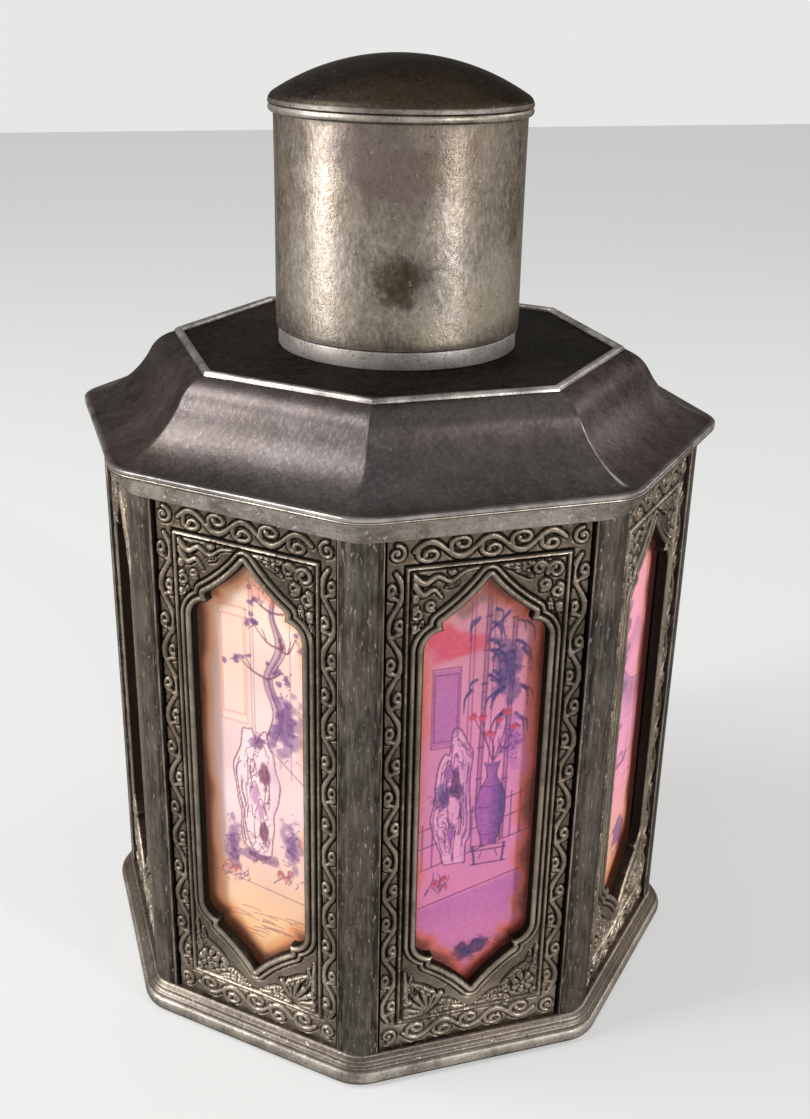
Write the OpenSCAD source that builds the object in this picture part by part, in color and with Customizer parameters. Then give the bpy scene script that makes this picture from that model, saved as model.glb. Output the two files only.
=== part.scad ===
// Eight-sided pewter tea caddy with glazed picture panels, a round neck,
// an inner stopper and a domed slip-on cap.
// Origin: centre of the foot's flat underside. +Z points up, side 1 faces -Y.

/* [Foot] */
// How far the foot stands out from the walls
foot_out = 2.5; // [1.6:0.1:6]
// Height of the whole foot moulding
foot_h = 5.4; // [4.8:0.1:8]
// Height of the worn bead that forms the widest part
foot_bead_h = 2.4; // [1.6:0.1:3]
// How far the foot's underside steps in below the bead
foot_undercut = 0.6; // [0.2:0.1:1]
// Corner radius of the foot
foot_round = 9; // [4:0.5:12]
// Gap between the table and the bottom plate
foot_clear = 0.8; // [0.4:0.1:1.5]
// Thickness of the bottom plate
bottom_t = 1.2; // [0.8:0.1:1.8]

/* [Body] */
// Distance from the axis to the flat face of a wall
body_apothem = 53.5; // [48:0.5:62]
// Height of the walls, from the table to the underside of the lip plate
body_top = 110.6; // [108:0.1:125]
// Corner radius of the walls
body_round = 5.4; // [2:0.1:8]
// Thickness of the face layer of a corner post
post_face_t = 2.5; // [2:0.1:3]
// Thickness of the flange behind it that carries an ornament plate
post_flange_t = 1.2; // [0.8:0.1:1.6]
// How far that flange reaches in behind an ornament plate
post_flange_w = 2.2; // [1.2:0.1:2.6]
// Height of the plain band above the panels
top_band_h = 3.8; // [2.5:0.1:6]

/* [Panel] */
// Width of a corner post's face on each side of its corner
post_w = 4.16; // [3.2:0.02:5.2]
// Gap between an ornament plate and the post beside it
panel_gap = 0.6; // [0.2:0.1:0.8]
// Gap between an ornament plate and the band above it
panel_head_gap = 0.2; // [0.1:0.1:0.5]
// Thickness of an ornament plate without its relief
panel_t = 1.6; // [1.2:0.1:1.8]
// Height of the window moulding above the plate
moulding_h = 0.6; // [0.2:0.1:0.7]
// Width of the window moulding
moulding_w = 2.3; // [1:0.1:2.5]
// Width of the border beside the fillet that frames the window
border_w = 3.2; // [2.4:0.1:3.6]
// Width of that fillet
fillet_w = 0.5; // [0.3:0.1:0.6]
// Height of that fillet above the plate
fillet_h = 0.4; // [0.2:0.1:0.6]
// Height of the border above and below that fillet
border_h = 5; // [3.5:0.1:5.5]

/* [Window] */
// Distance between the window and the outside of the fillet beside it
window_margin = 3.2; // [3:0.1:4.7]
// Distance from the plate's lower end to the window's lower point
window_foot = 10.4; // [9.6:0.1:14]
// Distance from the plate's upper end to the window's upper point
window_head = 8; // [7.8:0.1:14]
// Height of the point above the cusps at each end
point_h = 7.2; // [6:0.1:9.5]
// Width of the rounded shoulder beside each cusp
cusp_w = 3; // [2:0.1:3.2]
// Radius of that shoulder
window_shoulder_r = 3.4; // [3.2:0.1:3.8]
// Height of the upright step between a cusp and the shoulder below it
cusp_step = 1.5; // [0.6:0.1:2.4]
// Radius of the slightly hollow flank between a cusp and the point
flank_r = 34; // [20:1:60]

/* [Glass] */
// Thickness of a glass pane
glass_t = 1.6; // [1.2:0.1:2]
// Gap between a pane and the post flange beside it
glass_gap = 0.4; // [0.2:0.1:0.8]
// Gap between a pane and the band above it
glass_head_gap = 2.4; // [0.4:0.1:4]
// Thickness of the picture sheet behind a pane
picture_t = 0.3; // [0.2:0.05:0.5]
// Gap between the edge of a picture sheet and the edge of its pane
picture_inset = 0.2; // [0:0.1:1]

/* [Liner] */
// Thickness of the inner liner's wall
liner_t = 1.1; // [0.8:0.1:2]
// Thickness of the inner liner's floor
liner_floor_t = 1.2; // [0.8:0.1:2]

/* [Shoulder] */
// How far the lip stands out from the walls
lip_out = 2.9; // [2:0.1:6]
// Thickness of the lip's upper sheet at its edge
lip_t = 0.7; // [0.5:0.05:1.2]
// Thickness of the flat plate under the lip
lip_plate_t = 0.6; // [0.4:0.1:1]
// Corner radius of the lip
lip_round = 9; // [4:0.5:12]
// Width of the shoulder from the lip's edge to the bead at the top
shoulder_w = 17.2; // [15:0.1:20]
// Height of the shoulder from the lip's edge to the deck
shoulder_h = 12.7; // [11:0.1:15]
// Thickness of the shoulder sheet
shoulder_t = 1; // [0.7:0.1:1.4]
// Slope of the shoulder where it leaves the deck, in degrees
slope_top = 15; // [8:1:22]
// Slope of the shoulder at its steepest, in degrees
slope_mid = 63; // [56:1:68]
// Slope of the shoulder where it runs out into the lip, in degrees
slope_lip = 8; // [3:1:14]
// Width of the bead along the deck's edge
ridge_w = 1.6; // [1:0.1:2]
// Thickness of the deck
deck_t = 1.2; // [0.8:0.1:2]

/* [Neck] */
// Outside radius of the neck
neck_r = 21.2; // [19:0.1:24]
// Thickness of the neck's wall
neck_t = 1.2; // [0.8:0.1:2]
// Height of the neck above the deck
neck_h = 27; // [16:0.5:31]
// How far the neck reaches below the deck
neck_drop = 1.5; // [0.5:0.1:3]
// Height of the collar around the foot of the neck
collar_h = 3.3; // [2:0.1:5]
// Radius by which the collar is smaller than the cap
collar_inset = 0.5; // [0.3:0.1:0.8]

/* [Stopper] */
// Thickness of the stopper's disc
disc_t = 1.2; // [0.8:0.1:2]
// Radius by which the disc is smaller than the neck's outside
disc_inset = 0.3; // [0.1:0.1:0.8]
// Depth of the stopper's skirt inside the neck
plug_depth = 7; // [4:0.5:10]
// Thickness of the stopper's skirt
plug_t = 1; // [0.7:0.1:1.6]
// Gap between the stopper's skirt and the neck
plug_gap = 0.35; // [0.3:0.05:0.8]
// Radius of the stopper's knob
knob_r = 4.5; // [3:0.1:6]
// Height of the stopper's knob
knob_h = 6.5; // [5:0.1:7.5]

/* [Cap] */
// Gap between the cap and the neck
cap_gap = 0.35; // [0.3:0.05:0.8]
// Thickness of the cap's wall
cap_t = 1; // [0.7:0.1:1.6]
// Gap between the cap and the collar that it stands on
cap_seat_gap = 0.1; // [0.05:0.05:0.3]
// Height of the cap's skirt, from its edge to the dome
cap_skirt_h = 39; // [37:0.5:60]
// How far the cap's bead stands out from its skirt
cap_bead_r = 0.85; // [0.6:0.05:1.2]
// Height of the dome above the skirt
dome_rise = 8.2; // [6:0.1:12]
// Radius of the dome's rounded edge
dome_edge_r = 2; // [1.4:0.1:3]

/* [Hidden] */
SMOOTH = 96;
$fn = SMOOTH;
SIDES = 8;
// Angle between two neighbouring sides, and half of it
turn = 360 / SIDES;
half_turn = turn / 2;
// A length that carries a cutting shape clear of what it cuts
past = 1;

// Levels, from the table up
bottom_z = foot_clear + bottom_t;
liner_z = bottom_z + liner_floor_t;
post_top = body_top - top_band_h;
shoulder_z = body_top + lip_plate_t;
lip_top = shoulder_z + lip_t;
deck_z = lip_top + shoulder_h;
neck_top = deck_z + neck_h;
cap_z = deck_z + collar_h + cap_seat_gap;
dome_z = cap_z + cap_skirt_h;
apex_z = dome_z + dome_rise;

// Distances from the axis to the layers of a wall, the foot and the lip
foot_apothem = body_apothem + foot_out;
lip_apothem = body_apothem + lip_out;
flange_apothem = body_apothem - post_face_t;
post_back = flange_apothem - post_flange_t;
glass_back = flange_apothem - glass_t;
liner_apothem = glass_back - picture_t;
liner_inside = liner_apothem - liner_t;
plate_face = flange_apothem + panel_t;
panel_half_w = body_apothem * tan(half_turn) - post_w;
flange_edge = panel_half_w - post_flange_w;
glass_top = post_top - glass_head_gap;

// The ornament plate and the window in it, measured from the plate's middle
plate_half_w = panel_half_w - panel_gap;
plate_h = post_top - panel_head_gap - foot_h;
plate_mid = foot_h + plate_h / 2;
fillet_half_w = plate_half_w - border_w;
fillet_half_h = plate_h / 2 - border_h;
window_half_w = fillet_half_w - window_margin;
cusp_half_w = window_half_w - cusp_w;
window_rise = (window_foot - window_head) / 2;
point_v = (plate_h - window_foot - window_head) / 2;
cusp_v = point_v - point_h;
window_shoulder_u = window_half_w - window_shoulder_r;
window_shoulder_v = cusp_v - cusp_step - window_shoulder_r;
flank_chord = norm([cusp_half_w, point_h]);
flank_reach = sqrt(pow(flank_r, 2) - pow(flank_chord / 2, 2));
flank_centre = [
    cusp_half_w / 2 + flank_reach * point_h / flank_chord,
    (cusp_v + point_v) / 2 + flank_reach * cusp_half_w / flank_chord
];

// The shoulder's two arcs share a tangent: the upper one bulges out, the
// lower one hollows in. Their radii fill the shoulder's width and height.
ridge_edge = lip_apothem - shoulder_w;
ridge_apothem = ridge_edge - ridge_w / 2;
deck_apothem = ridge_edge - ridge_w;
arc_a = [sin(slope_mid) - sin(slope_top), cos(slope_top) - cos(slope_mid)];
arc_b = [sin(slope_mid) - sin(slope_lip), cos(slope_lip) - cos(slope_mid)];
arc_det = arc_a[0] * arc_b[1] - arc_a[1] * arc_b[0];
bulge_r = (shoulder_w * arc_b[1] - shoulder_h * arc_b[0]) / arc_det;
hollow_r = (shoulder_h * arc_a[0] - shoulder_w * arc_a[1]) / arc_det;
bulge_c = [ridge_edge, deck_z] - bulge_r * [sin(slope_top), cos(slope_top)];
arc_joint = bulge_c + bulge_r * [sin(slope_mid), cos(slope_mid)];
hollow_c = arc_joint + hollow_r * [sin(slope_mid), cos(slope_mid)];

// Radii about the axis
neck_inside = neck_r - neck_t;
cap_inside = neck_r + cap_gap;
cap_r = cap_inside + cap_t;
collar_r = cap_r - collar_inset;
disc_r = neck_r - disc_inset;
plug_r = neck_inside - plug_gap;
dome_r = cap_r + cap_bead_r;
// The dome's sphere meets its rounded edge smoothly
dome_sphere_r = (pow(dome_r - dome_edge_r, 2) + pow(dome_rise, 2) - pow(dome_edge_r, 2))
    / (2 * (dome_rise - dome_edge_r));
dome_centre_z = apex_z - dome_sphere_r;
dome_blend = (dome_r - dome_edge_r) / (dome_sphere_r - dome_edge_r);

pewter = [0.36, 0.34, 0.31];
worn_pewter = [0.62, 0.60, 0.56];
dark_pewter = [0.22, 0.20, 0.18];

function numbered(stem) = [for (i = [1:SIDES]) str(stem, "_", i)];

// ---- Shared shapes ----

// Places a shape that is drawn for the +X side onto side i
module on_side(i) rotate(-90 + turn * (i - 1)) children();

// An octagon with flats on the axes, given by its apothem
module octagon(apothem) {
    rotate(half_turn) circle(r = apothem / cos(half_turn), $fn = SIDES);
}

// The same octagon with rounded corners
module round_octagon(apothem, r) {
    reach = (apothem - r) / cos(half_turn);
    points = [
        for (k = [0:SIDES - 1], side = [-1, 1])
            let (a = half_turn + turn * k)
            reach * [cos(a), sin(a)]
                + r * [cos(a + side * half_turn), sin(a + side * half_turn)]
    ];
    polygon(points);
    for (k = [0:SIDES - 1]) rotate(half_turn + turn * k) translate([reach, 0]) circle(r);
}

// A flat layer between two heights
module layer(z0, z1) translate([0, 0, z0]) linear_extrude(z1 - z0) children();

// A sheet that stands upright on the +X side between two distances from the axis
module upright(a0, a1) {
    translate([a0, 0, 0]) rotate([90, 0, 90]) linear_extrude(a1 - a0) children();
}

// A rectangle given by its half width and its lower and upper edges
module span(half_w, v0, v1) translate([-half_w, v0]) square([2 * half_w, v1 - v0]);

// A ring with eight flat sides. Its section is drawn for the +X side: the
// first coordinate runs out from the axis, the second one up
module all_round() {
    rotate(half_turn) rotate_extrude($fn = SIDES) scale([1 / cos(half_turn), 1]) {
        let ($fn = SMOOTH) children();
    }
}

// ---- Foot and walls ----

module foot_rim() {
    step = (foot_apothem - body_apothem) / 3;
    step_h = (foot_h - foot_clear - foot_bead_h) / 2;
    bead_top = foot_clear + foot_bead_h;
    color(worn_pewter) difference() {
        union() {
            layer(0, foot_clear) {
                round_octagon(foot_apothem - foot_undercut, foot_round - foot_undercut);
            }
            layer(foot_clear, bead_top) round_octagon(foot_apothem, foot_round);
            layer(bead_top, bead_top + step_h) {
                round_octagon(foot_apothem - step, foot_round - step);
            }
            layer(bead_top + step_h, foot_h) {
                round_octagon(foot_apothem - 2 * step, foot_round - 2 * step);
            }
        }
        layer(-past, foot_h + past) round_octagon(body_apothem, body_round);
    }
}

module foot_plate() {
    color(dark_pewter) layer(foot_clear, bottom_z) round_octagon(body_apothem, body_round);
}

module band(z0, z1) {
    color(pewter) difference() {
        layer(z0, z1) round_octagon(body_apothem, body_round);
        layer(z0 - past, z1 + past) octagon(liner_apothem);
    }
}

module base_band() band(bottom_z, foot_h);

module top_band() band(post_top, body_top);

// The mirror image of a point in the corner after the +X side
function across_corner(p) = [
    p[0] * cos(turn) + p[1] * sin(turn),
    p[0] * sin(turn) - p[1] * cos(turn)
];

// A post's section: the half on the +X side, then its mirror image in the
// corner between two sides, with the corner rounded
module post_section() {
    tan_half = tan(half_turn);
    near = [
        [post_back, flange_edge], [flange_apothem, flange_edge],
        [flange_apothem, panel_half_w], [body_apothem, panel_half_w],
        [body_apothem, (body_apothem - body_round) * tan_half]
    ];
    far = [for (k = [len(near) - 1:-1:0]) across_corner(near[k])];
    polygon(concat(near, far, [post_back * [1, tan_half]]));
    intersection() {
        translate((body_apothem - body_round) * [1, tan_half]) circle(body_round);
        polygon([near[len(near) - 1], body_apothem * [1, tan_half], far[0]]);
    }
}

module post(i) color(pewter) on_side(i) layer(foot_h, post_top) post_section();

// ---- Ornament plates, glass and pictures ----

// Half of one pointed end of the window, grown outwards by g
module window_flank(g) {
    grown = flank_r - g;
    cusp = flank_centre + ([cusp_half_w, cusp_v] - flank_centre) * grown / flank_r;
    tip = flank_centre[1] - sqrt(pow(grown, 2) - pow(flank_centre[0], 2));
    difference() {
        polygon([[0, 0], [cusp[0], 0], cusp, [0, tip]]);
        translate(flank_centre) circle(grown);
    }
    translate([window_shoulder_u, window_shoulder_v]) circle(window_shoulder_r + g);
}

// The window's outline, pointed at both ends, grown outwards by g
module window(g = 0) {
    for (u = [0, 1], v = [0, 1]) mirror([u, 0]) mirror([0, v]) window_flank(g);
    span(window_half_w + g, -window_shoulder_v, window_shoulder_v);
}

module panel(i) {
    color(pewter) on_side(i) translate([0, 0, plate_mid]) difference() {
        union() {
            upright(flange_apothem, plate_face) span(plate_half_w, -plate_h / 2, plate_h / 2);
            upright(flange_apothem, plate_face + moulding_h) {
                translate([0, window_rise]) window(moulding_w);
            }
            upright(flange_apothem, plate_face + fillet_h) difference() {
                span(fillet_half_w, -fillet_half_h, fillet_half_h);
                span(fillet_half_w - fillet_w, fillet_w - fillet_half_h, fillet_half_h - fillet_w);
            }
        }
        upright(flange_apothem - past, plate_face + moulding_h + past) {
            translate([0, window_rise]) window();
        }
    }
}

module glass(i) {
    color([0.85, 0.88, 0.86, 0.35]) on_side(i) upright(glass_back, flange_apothem) {
        span(flange_edge - glass_gap, foot_h, glass_top);
    }
}

module picture(i) {
    half_w = flange_edge - glass_gap - picture_inset;
    color([0.85, 0.62, 0.72]) on_side(i) upright(liner_apothem, glass_back) {
        span(half_w, foot_h, glass_top - picture_inset);
    }
}

// ---- Liner ----

module liner_floor() color(worn_pewter) layer(bottom_z, liner_z) octagon(liner_apothem);

module liner_wall() {
    color(worn_pewter) difference() {
        layer(liner_z, body_top) octagon(liner_apothem);
        layer(liner_z - past, body_top + past) octagon(liner_inside);
    }
}

// ---- Shoulder and deck ----

module lip_plate() {
    color(worn_pewter) difference() {
        layer(body_top, shoulder_z) round_octagon(lip_apothem, lip_round);
        layer(body_top - past, shoulder_z + past) octagon(liner_inside);
    }
}

// The space under the shoulder's curve, taken in by the thickness t
module under_shoulder(t) {
    rise = [sin(slope_top), cos(slope_top)];
    fall = [sin(slope_mid), cos(slope_mid)];
    crest = bulge_c + (bulge_r - t) * rise;
    difference() {
        union() {
            polygon([
                [0, foot_h], [lip_apothem, foot_h], [lip_apothem, lip_top - t],
                bulge_c + (bulge_r - t) * fall, crest, [0, crest[1]]
            ]);
            intersection() {
                translate(bulge_c) circle(bulge_r - t);
                polygon([bulge_c, bulge_c + 2 * bulge_r * rise, bulge_c + 2 * bulge_r * fall]);
            }
        }
        translate(hollow_c) circle(hollow_r + t);
    }
}

module shoulder() {
    color(dark_pewter) intersection() {
        all_round() difference() {
            under_shoulder(0);
            under_shoulder(shoulder_t);
            square([lip_apothem + past, shoulder_z]);
            square([deck_apothem, deck_z + past]);
        }
        layer(shoulder_z, deck_z + past) round_octagon(lip_apothem, lip_round);
    }
}

module deck() {
    color(dark_pewter) difference() {
        layer(deck_z - deck_t, deck_z) octagon(deck_apothem);
        layer(deck_z - deck_t - past, deck_z + past) circle(neck_r);
    }
}

// A half-round bead along the edge between the deck and the shoulder
module ridge_bead() {
    color(worn_pewter) all_round() {
        translate([ridge_apothem, deck_z]) intersection() {
            circle(ridge_w / 2);
            translate([-ridge_w / 2, 0]) square([ridge_w, ridge_w / 2]);
        }
    }
}

// ---- Neck ----

module ring(r_out, r_in, z0, z1) {
    layer(z0, z1) difference() {
        circle(r_out);
        circle(r_in);
    }
}

module collar() color(worn_pewter) ring(collar_r, neck_r, deck_z, deck_z + collar_h);

module neck() color(worn_pewter) ring(neck_r, neck_inside, deck_z - deck_t - neck_drop, neck_top);

// ---- Stopper ----

module plug_disc() color(worn_pewter) layer(neck_top, neck_top + disc_t) circle(disc_r);

module plug_skirt() {
    color(worn_pewter) ring(plug_r, plug_r - plug_t, neck_top - plug_depth, neck_top);
}

module plug_knob() {
    stem_r = knob_r * 0.55;
    color(worn_pewter) translate([0, 0, neck_top + disc_t]) rotate_extrude() {
        square([stem_r, knob_h / 2]);
        translate([0, knob_h / 2]) square([knob_r - knob_h / 4, knob_h / 2]);
        intersection() {
            translate([knob_r - knob_h / 4, knob_h * 3 / 4]) circle(knob_h / 4);
            square([knob_r, knob_h]);
        }
    }
}

// ---- Cap ----

module cap_skirt() color(worn_pewter) ring(cap_r, cap_inside, cap_z, dome_z);

module cap_bead() {
    color(worn_pewter) translate([0, 0, dome_z - cap_bead_r]) rotate_extrude() difference() {
        translate([cap_r, 0]) circle(cap_bead_r);
        translate([0, -2 * cap_bead_r]) square([cap_r, 4 * cap_bead_r]);
    }
}

module cap_dome() {
    edge = dome_r - dome_edge_r;
    blend_z = dome_centre_z + sqrt(pow(dome_sphere_r, 2) - pow(dome_blend * dome_sphere_r, 2));
    color(dark_pewter) rotate_extrude() difference() {
        intersection() {
            union() {
                intersection() {
                    translate([0, dome_centre_z]) circle(dome_sphere_r);
                    polygon([
                        [0, dome_z], [edge, dome_z], [dome_blend * dome_sphere_r, blend_z],
                        [dome_blend * dome_sphere_r, apex_z], [0, apex_z]
                    ]);
                }
                translate([edge, dome_z]) circle(dome_edge_r);
            }
            translate([0, dome_z]) square([dome_r, dome_rise]);
        }
        intersection() {
            translate([0, dome_centre_z]) circle(dome_sphere_r - cap_t);
            translate([0, dome_z - past]) square([cap_inside, dome_rise + past]);
        }
    }
}

// ---- What is drawn ----

foot_plate();
foot_rim();
base_band();
top_band();
for (i = [1:SIDES]) {
    post(i);
    panel(i);
    glass(i);
    picture(i);
}
liner_floor();
liner_wall();
lip_plate();
shoulder();
deck();
ridge_bead();
collar();
neck();
plug_disc();
plug_skirt();
plug_knob();
cap_skirt();
cap_bead();
cap_dome();
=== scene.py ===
# %% [markdown]
# # An eight-sided pewter tea caddy
# The caddy is a soldered pewter box with eight glazed pictures behind cast
# frames, a stepped shoulder, a round neck and a domed slip-on cap. The script
# loads the packed solids as a fixed frame and dresses each of them. All sizes
# are in metres, +Z is up, and side 1 faces -Y.

# %% The frame
import math

import bpy
import numpy as np
from mathutils import Matrix, Vector


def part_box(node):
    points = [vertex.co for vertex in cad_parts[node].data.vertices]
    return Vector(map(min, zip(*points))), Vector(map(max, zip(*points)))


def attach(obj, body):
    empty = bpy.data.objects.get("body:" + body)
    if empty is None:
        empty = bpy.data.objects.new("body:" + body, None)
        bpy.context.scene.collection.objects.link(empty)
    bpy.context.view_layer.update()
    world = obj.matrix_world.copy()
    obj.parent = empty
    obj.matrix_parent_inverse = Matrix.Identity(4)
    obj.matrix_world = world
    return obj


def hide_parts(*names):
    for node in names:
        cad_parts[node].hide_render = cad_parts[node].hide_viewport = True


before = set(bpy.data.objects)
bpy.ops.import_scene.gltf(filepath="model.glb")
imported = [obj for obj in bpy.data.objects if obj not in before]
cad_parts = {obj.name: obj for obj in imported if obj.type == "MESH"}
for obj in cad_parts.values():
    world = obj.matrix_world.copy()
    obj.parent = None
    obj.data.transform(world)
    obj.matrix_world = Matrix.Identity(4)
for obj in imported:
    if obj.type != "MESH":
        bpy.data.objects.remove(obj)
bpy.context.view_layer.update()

MM = 0.001
SIDES = 8
TURN = 2 * math.pi / SIDES

# %% [markdown]
# ## Camera
# The caddy is seen from a little above, with two of its sides to the front. The
# camera stands close and looks down, so the uprights lean in towards the foot.
# It is placed by its distance from the axis, its height and its angles, because
# those are what one sets on a tripod.

# %% The camera
CAMERA_DISTANCE = 0.2506
CAMERA_HEIGHT = 0.1869
CAMERA_SIDE = math.radians(-17.46)
CAMERA_PITCH = math.radians(23.12)
CAMERA_YAW = math.radians(0.556)
CAMERA_ROLL = math.radians(1.255)
CAMERA_LENS = 43.75


def camera_turn(side, yaw, pitch, roll):
    """The camera's rotation, for a camera that stands at an angle round the axis."""
    ahead = Vector((math.sin(yaw) * math.cos(pitch), math.cos(yaw) * math.cos(pitch), -math.sin(pitch)))
    level = Vector((math.cos(yaw), -math.sin(yaw), 0))
    above = level.cross(ahead)
    right = level * math.cos(roll) + above * math.sin(roll)
    up = above * math.cos(roll) - level * math.sin(roll)
    return Matrix.Rotation(side, 3, "Z") @ Matrix((right, up, -ahead)).transposed()


lens = bpy.data.cameras.new("camera")
lens.lens = CAMERA_LENS
lens.clip_start = 0.01
camera = bpy.data.objects.new("camera", lens)
spot = Vector((
    CAMERA_DISTANCE * math.sin(CAMERA_SIDE), -CAMERA_DISTANCE * math.cos(CAMERA_SIDE), CAMERA_HEIGHT
))
camera.matrix_world = Matrix.Translation(spot) @ camera_turn(
    CAMERA_SIDE, CAMERA_YAW, CAMERA_PITCH, CAMERA_ROLL
).to_4x4()
bpy.context.collection.objects.link(camera)
bpy.context.scene.camera = camera
print("camera stands at", [round(c, 3) for c in spot])

# %% [markdown]
# ## Node graphs
# The room's light and every finish are small graphs of nodes. To keep each one
# short, a helper adds a node, sets its inputs and returns it. An input is given
# either as a plain value or as the output of another node.

# %% A helper for node graphs
def add(tree, kind, settings=None, **inputs):
    """Adds a node. Keys of inputs are input names, with _ for a space, or i0, i1 for a place."""
    made = tree.nodes.new(kind)
    for key, value in (settings or {}).items():
        setattr(made, key, value)
    for key, value in inputs.items():
        place = int(key[1:]) if key[0] == "i" and key[1:].isdigit() else key.replace("_", " ")
        if isinstance(value, bpy.types.NodeSocket):
            tree.links.new(value, made.inputs[place])
        else:
            made.inputs[place].default_value = value
    return made


def blend_colours(tree, amount, first, second):
    """A mix of two colours by an amount from 0 to 1."""
    mix = tree.nodes.new("ShaderNodeMix")
    mix.data_type = "RGBA"
    for place, value in ((0, amount), (6, first), (7, second)):
        if isinstance(value, bpy.types.NodeSocket):
            tree.links.new(value, mix.inputs[place])
        else:
            mix.inputs[place].default_value = value
    return mix.outputs[2]


def ramp(tree, value, low, high, to_low=0.0, to_high=1.0):
    """value between low and high, stretched to the range to_low to to_high and held there."""
    made = add(tree, "ShaderNodeMapRange", {"clamp": True}, Value=value)
    for key, number in (("From Min", low), ("From Max", high), ("To Min", to_low), ("To Max", to_high)):
        made.inputs[key].default_value = number
    return made.outputs["Result"]


def maths(tree, how, first, second):
    """The result of a Math node."""
    return add(tree, "ShaderNodeMath", {"operation": how}, i0=first, i1=second).outputs[0]


def noise(tree, place, scale, detail=3.0, rough=0.55):
    """A cloudy pattern from 0 to 1. place is where to read it."""
    made = add(tree, "ShaderNodeTexNoise", Vector=place, Scale=scale, Detail=detail, Roughness=rough)
    return made.outputs["Fac"]


def finish_on(name):
    """A new material without nodes, and its node tree."""
    made = bpy.data.materials.new(name)
    made.use_nodes = True
    made.node_tree.nodes.clear()
    return made, made.node_tree


print("node helpers:", [f.__name__ for f in (add, blend_colours, ramp, maths, noise, finish_on)])

# %% [markdown]
# ## Lamps
# Old pewter shows its shape by what it mirrors. A tall, narrow lamp on each
# side of the camera leaves a bright upright streak on either side of the round
# cap and shades the flat sides apart. A third lamp, high on the left, lights
# the slopes, and a weak one behind keeps the back from going dark.

# %% The lamps
LAMP_DISTANCE = 0.8
LAMP_CENTRE = 0.08
LAMP_AIM = 0.09


def soft_lamp(name, side, elevation, width, height, watts):
    """An area lamp that looks at the middle of the caddy from an angle round the camera."""
    data = bpy.data.lights.new(name, "AREA")
    data.shape = "RECTANGLE"
    data.size, data.size_y = width, height
    data.energy = watts
    lamp = bpy.data.objects.new(name, data)
    angle = CAMERA_SIDE + math.radians(side)
    level = LAMP_DISTANCE * math.cos(math.radians(elevation))
    rise = LAMP_DISTANCE * math.sin(math.radians(elevation))
    lamp.location = (level * math.sin(angle), -level * math.cos(angle), LAMP_CENTRE + rise)
    aim = Vector((0, 0, LAMP_AIM)) - lamp.location
    lamp.rotation_euler = aim.to_track_quat("-Z", "Y").to_euler()
    bpy.context.collection.objects.link(lamp)


soft_lamp("left_lamp", -70, 16, 0.11, 0.50, 5.5)
soft_lamp("right_lamp", 50, 14, 0.07, 0.45, 2.8)
soft_lamp("top_lamp", -88, 50, 0.34, 0.26, 3.4)
soft_lamp("back_lamp", 112, 28, 0.30, 0.20, 1.1)

# %% [markdown]
# ## Room and floor
# The room and the floor are plain and pale. Their brightness for the eye, and
# for what metal and glass mirror, is set apart from the light they shed on the
# caddy: a ray from the camera, through glass or off a mirror meets them brighter
# than the soft light that falls on the pewter.

# %% The room and the floor
ROOM_COLOUR = (0.80, 0.80, 0.79, 1)
FILL_STRENGTH = 0.42
FLOOR_GLOW = 0.55
FLOOR_HALF = 1.6


def seen_ray(tree):
    """1 for a ray that looks straight, through glass or off a mirror, and 0 for other light."""
    ray = add(tree, "ShaderNodeLightPath").outputs
    looks = maths(tree, "MAXIMUM", ray["Is Camera Ray"], ray["Is Transmission Ray"])
    return maths(tree, "MAXIMUM", looks, ray["Is Glossy Ray"])


scene = bpy.context.scene
scene.view_settings.view_transform = "Standard"
room = bpy.data.worlds.new("room")
scene.world = room
room.use_nodes = True
room_tree = room.node_tree
room_tree.nodes.clear()
fill = add(room_tree, "ShaderNodeBackground", Color=ROOM_COLOUR, Strength=FILL_STRENGTH).outputs[0]
bright = add(room_tree, "ShaderNodeBackground", Color=ROOM_COLOUR, Strength=1.0).outputs[0]
room_mix = add(room_tree, "ShaderNodeMixShader", Fac=seen_ray(room_tree), i1=fill, i2=bright).outputs[0]
add(room_tree, "ShaderNodeOutputWorld", Surface=room_mix)

floor_mesh = bpy.data.meshes.new("floor")
floor_mesh.from_pydata(
    [(x * FLOOR_HALF, y * FLOOR_HALF, 0) for x, y in ((-1, -1), (1, -1), (1, 1), (-1, 1))], [], [(0, 1, 2, 3)]
)
floor = bpy.data.objects.new("floor", floor_mesh)
bpy.context.collection.objects.link(floor)
floor_paint, floor_tree = finish_on("floor_paint")
matt = add(floor_tree, "ShaderNodeBsdfPrincipled", Base_Color=ROOM_COLOUR, Roughness=0.9).outputs[0]
glow = add(floor_tree, "ShaderNodeEmission", Color=ROOM_COLOUR).outputs[0]
glow_share = maths(floor_tree, "MULTIPLY", seen_ray(floor_tree), FLOOR_GLOW)
floor_mix = add(floor_tree, "ShaderNodeMixShader", Fac=glow_share, i1=matt, i2=glow).outputs[0]
add(floor_tree, "ShaderNodeOutputMaterial", Surface=floor_mix)
floor_mesh.materials.append(floor_paint)
print("floor is", 2 * FLOOR_HALF, "m wide")
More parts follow.
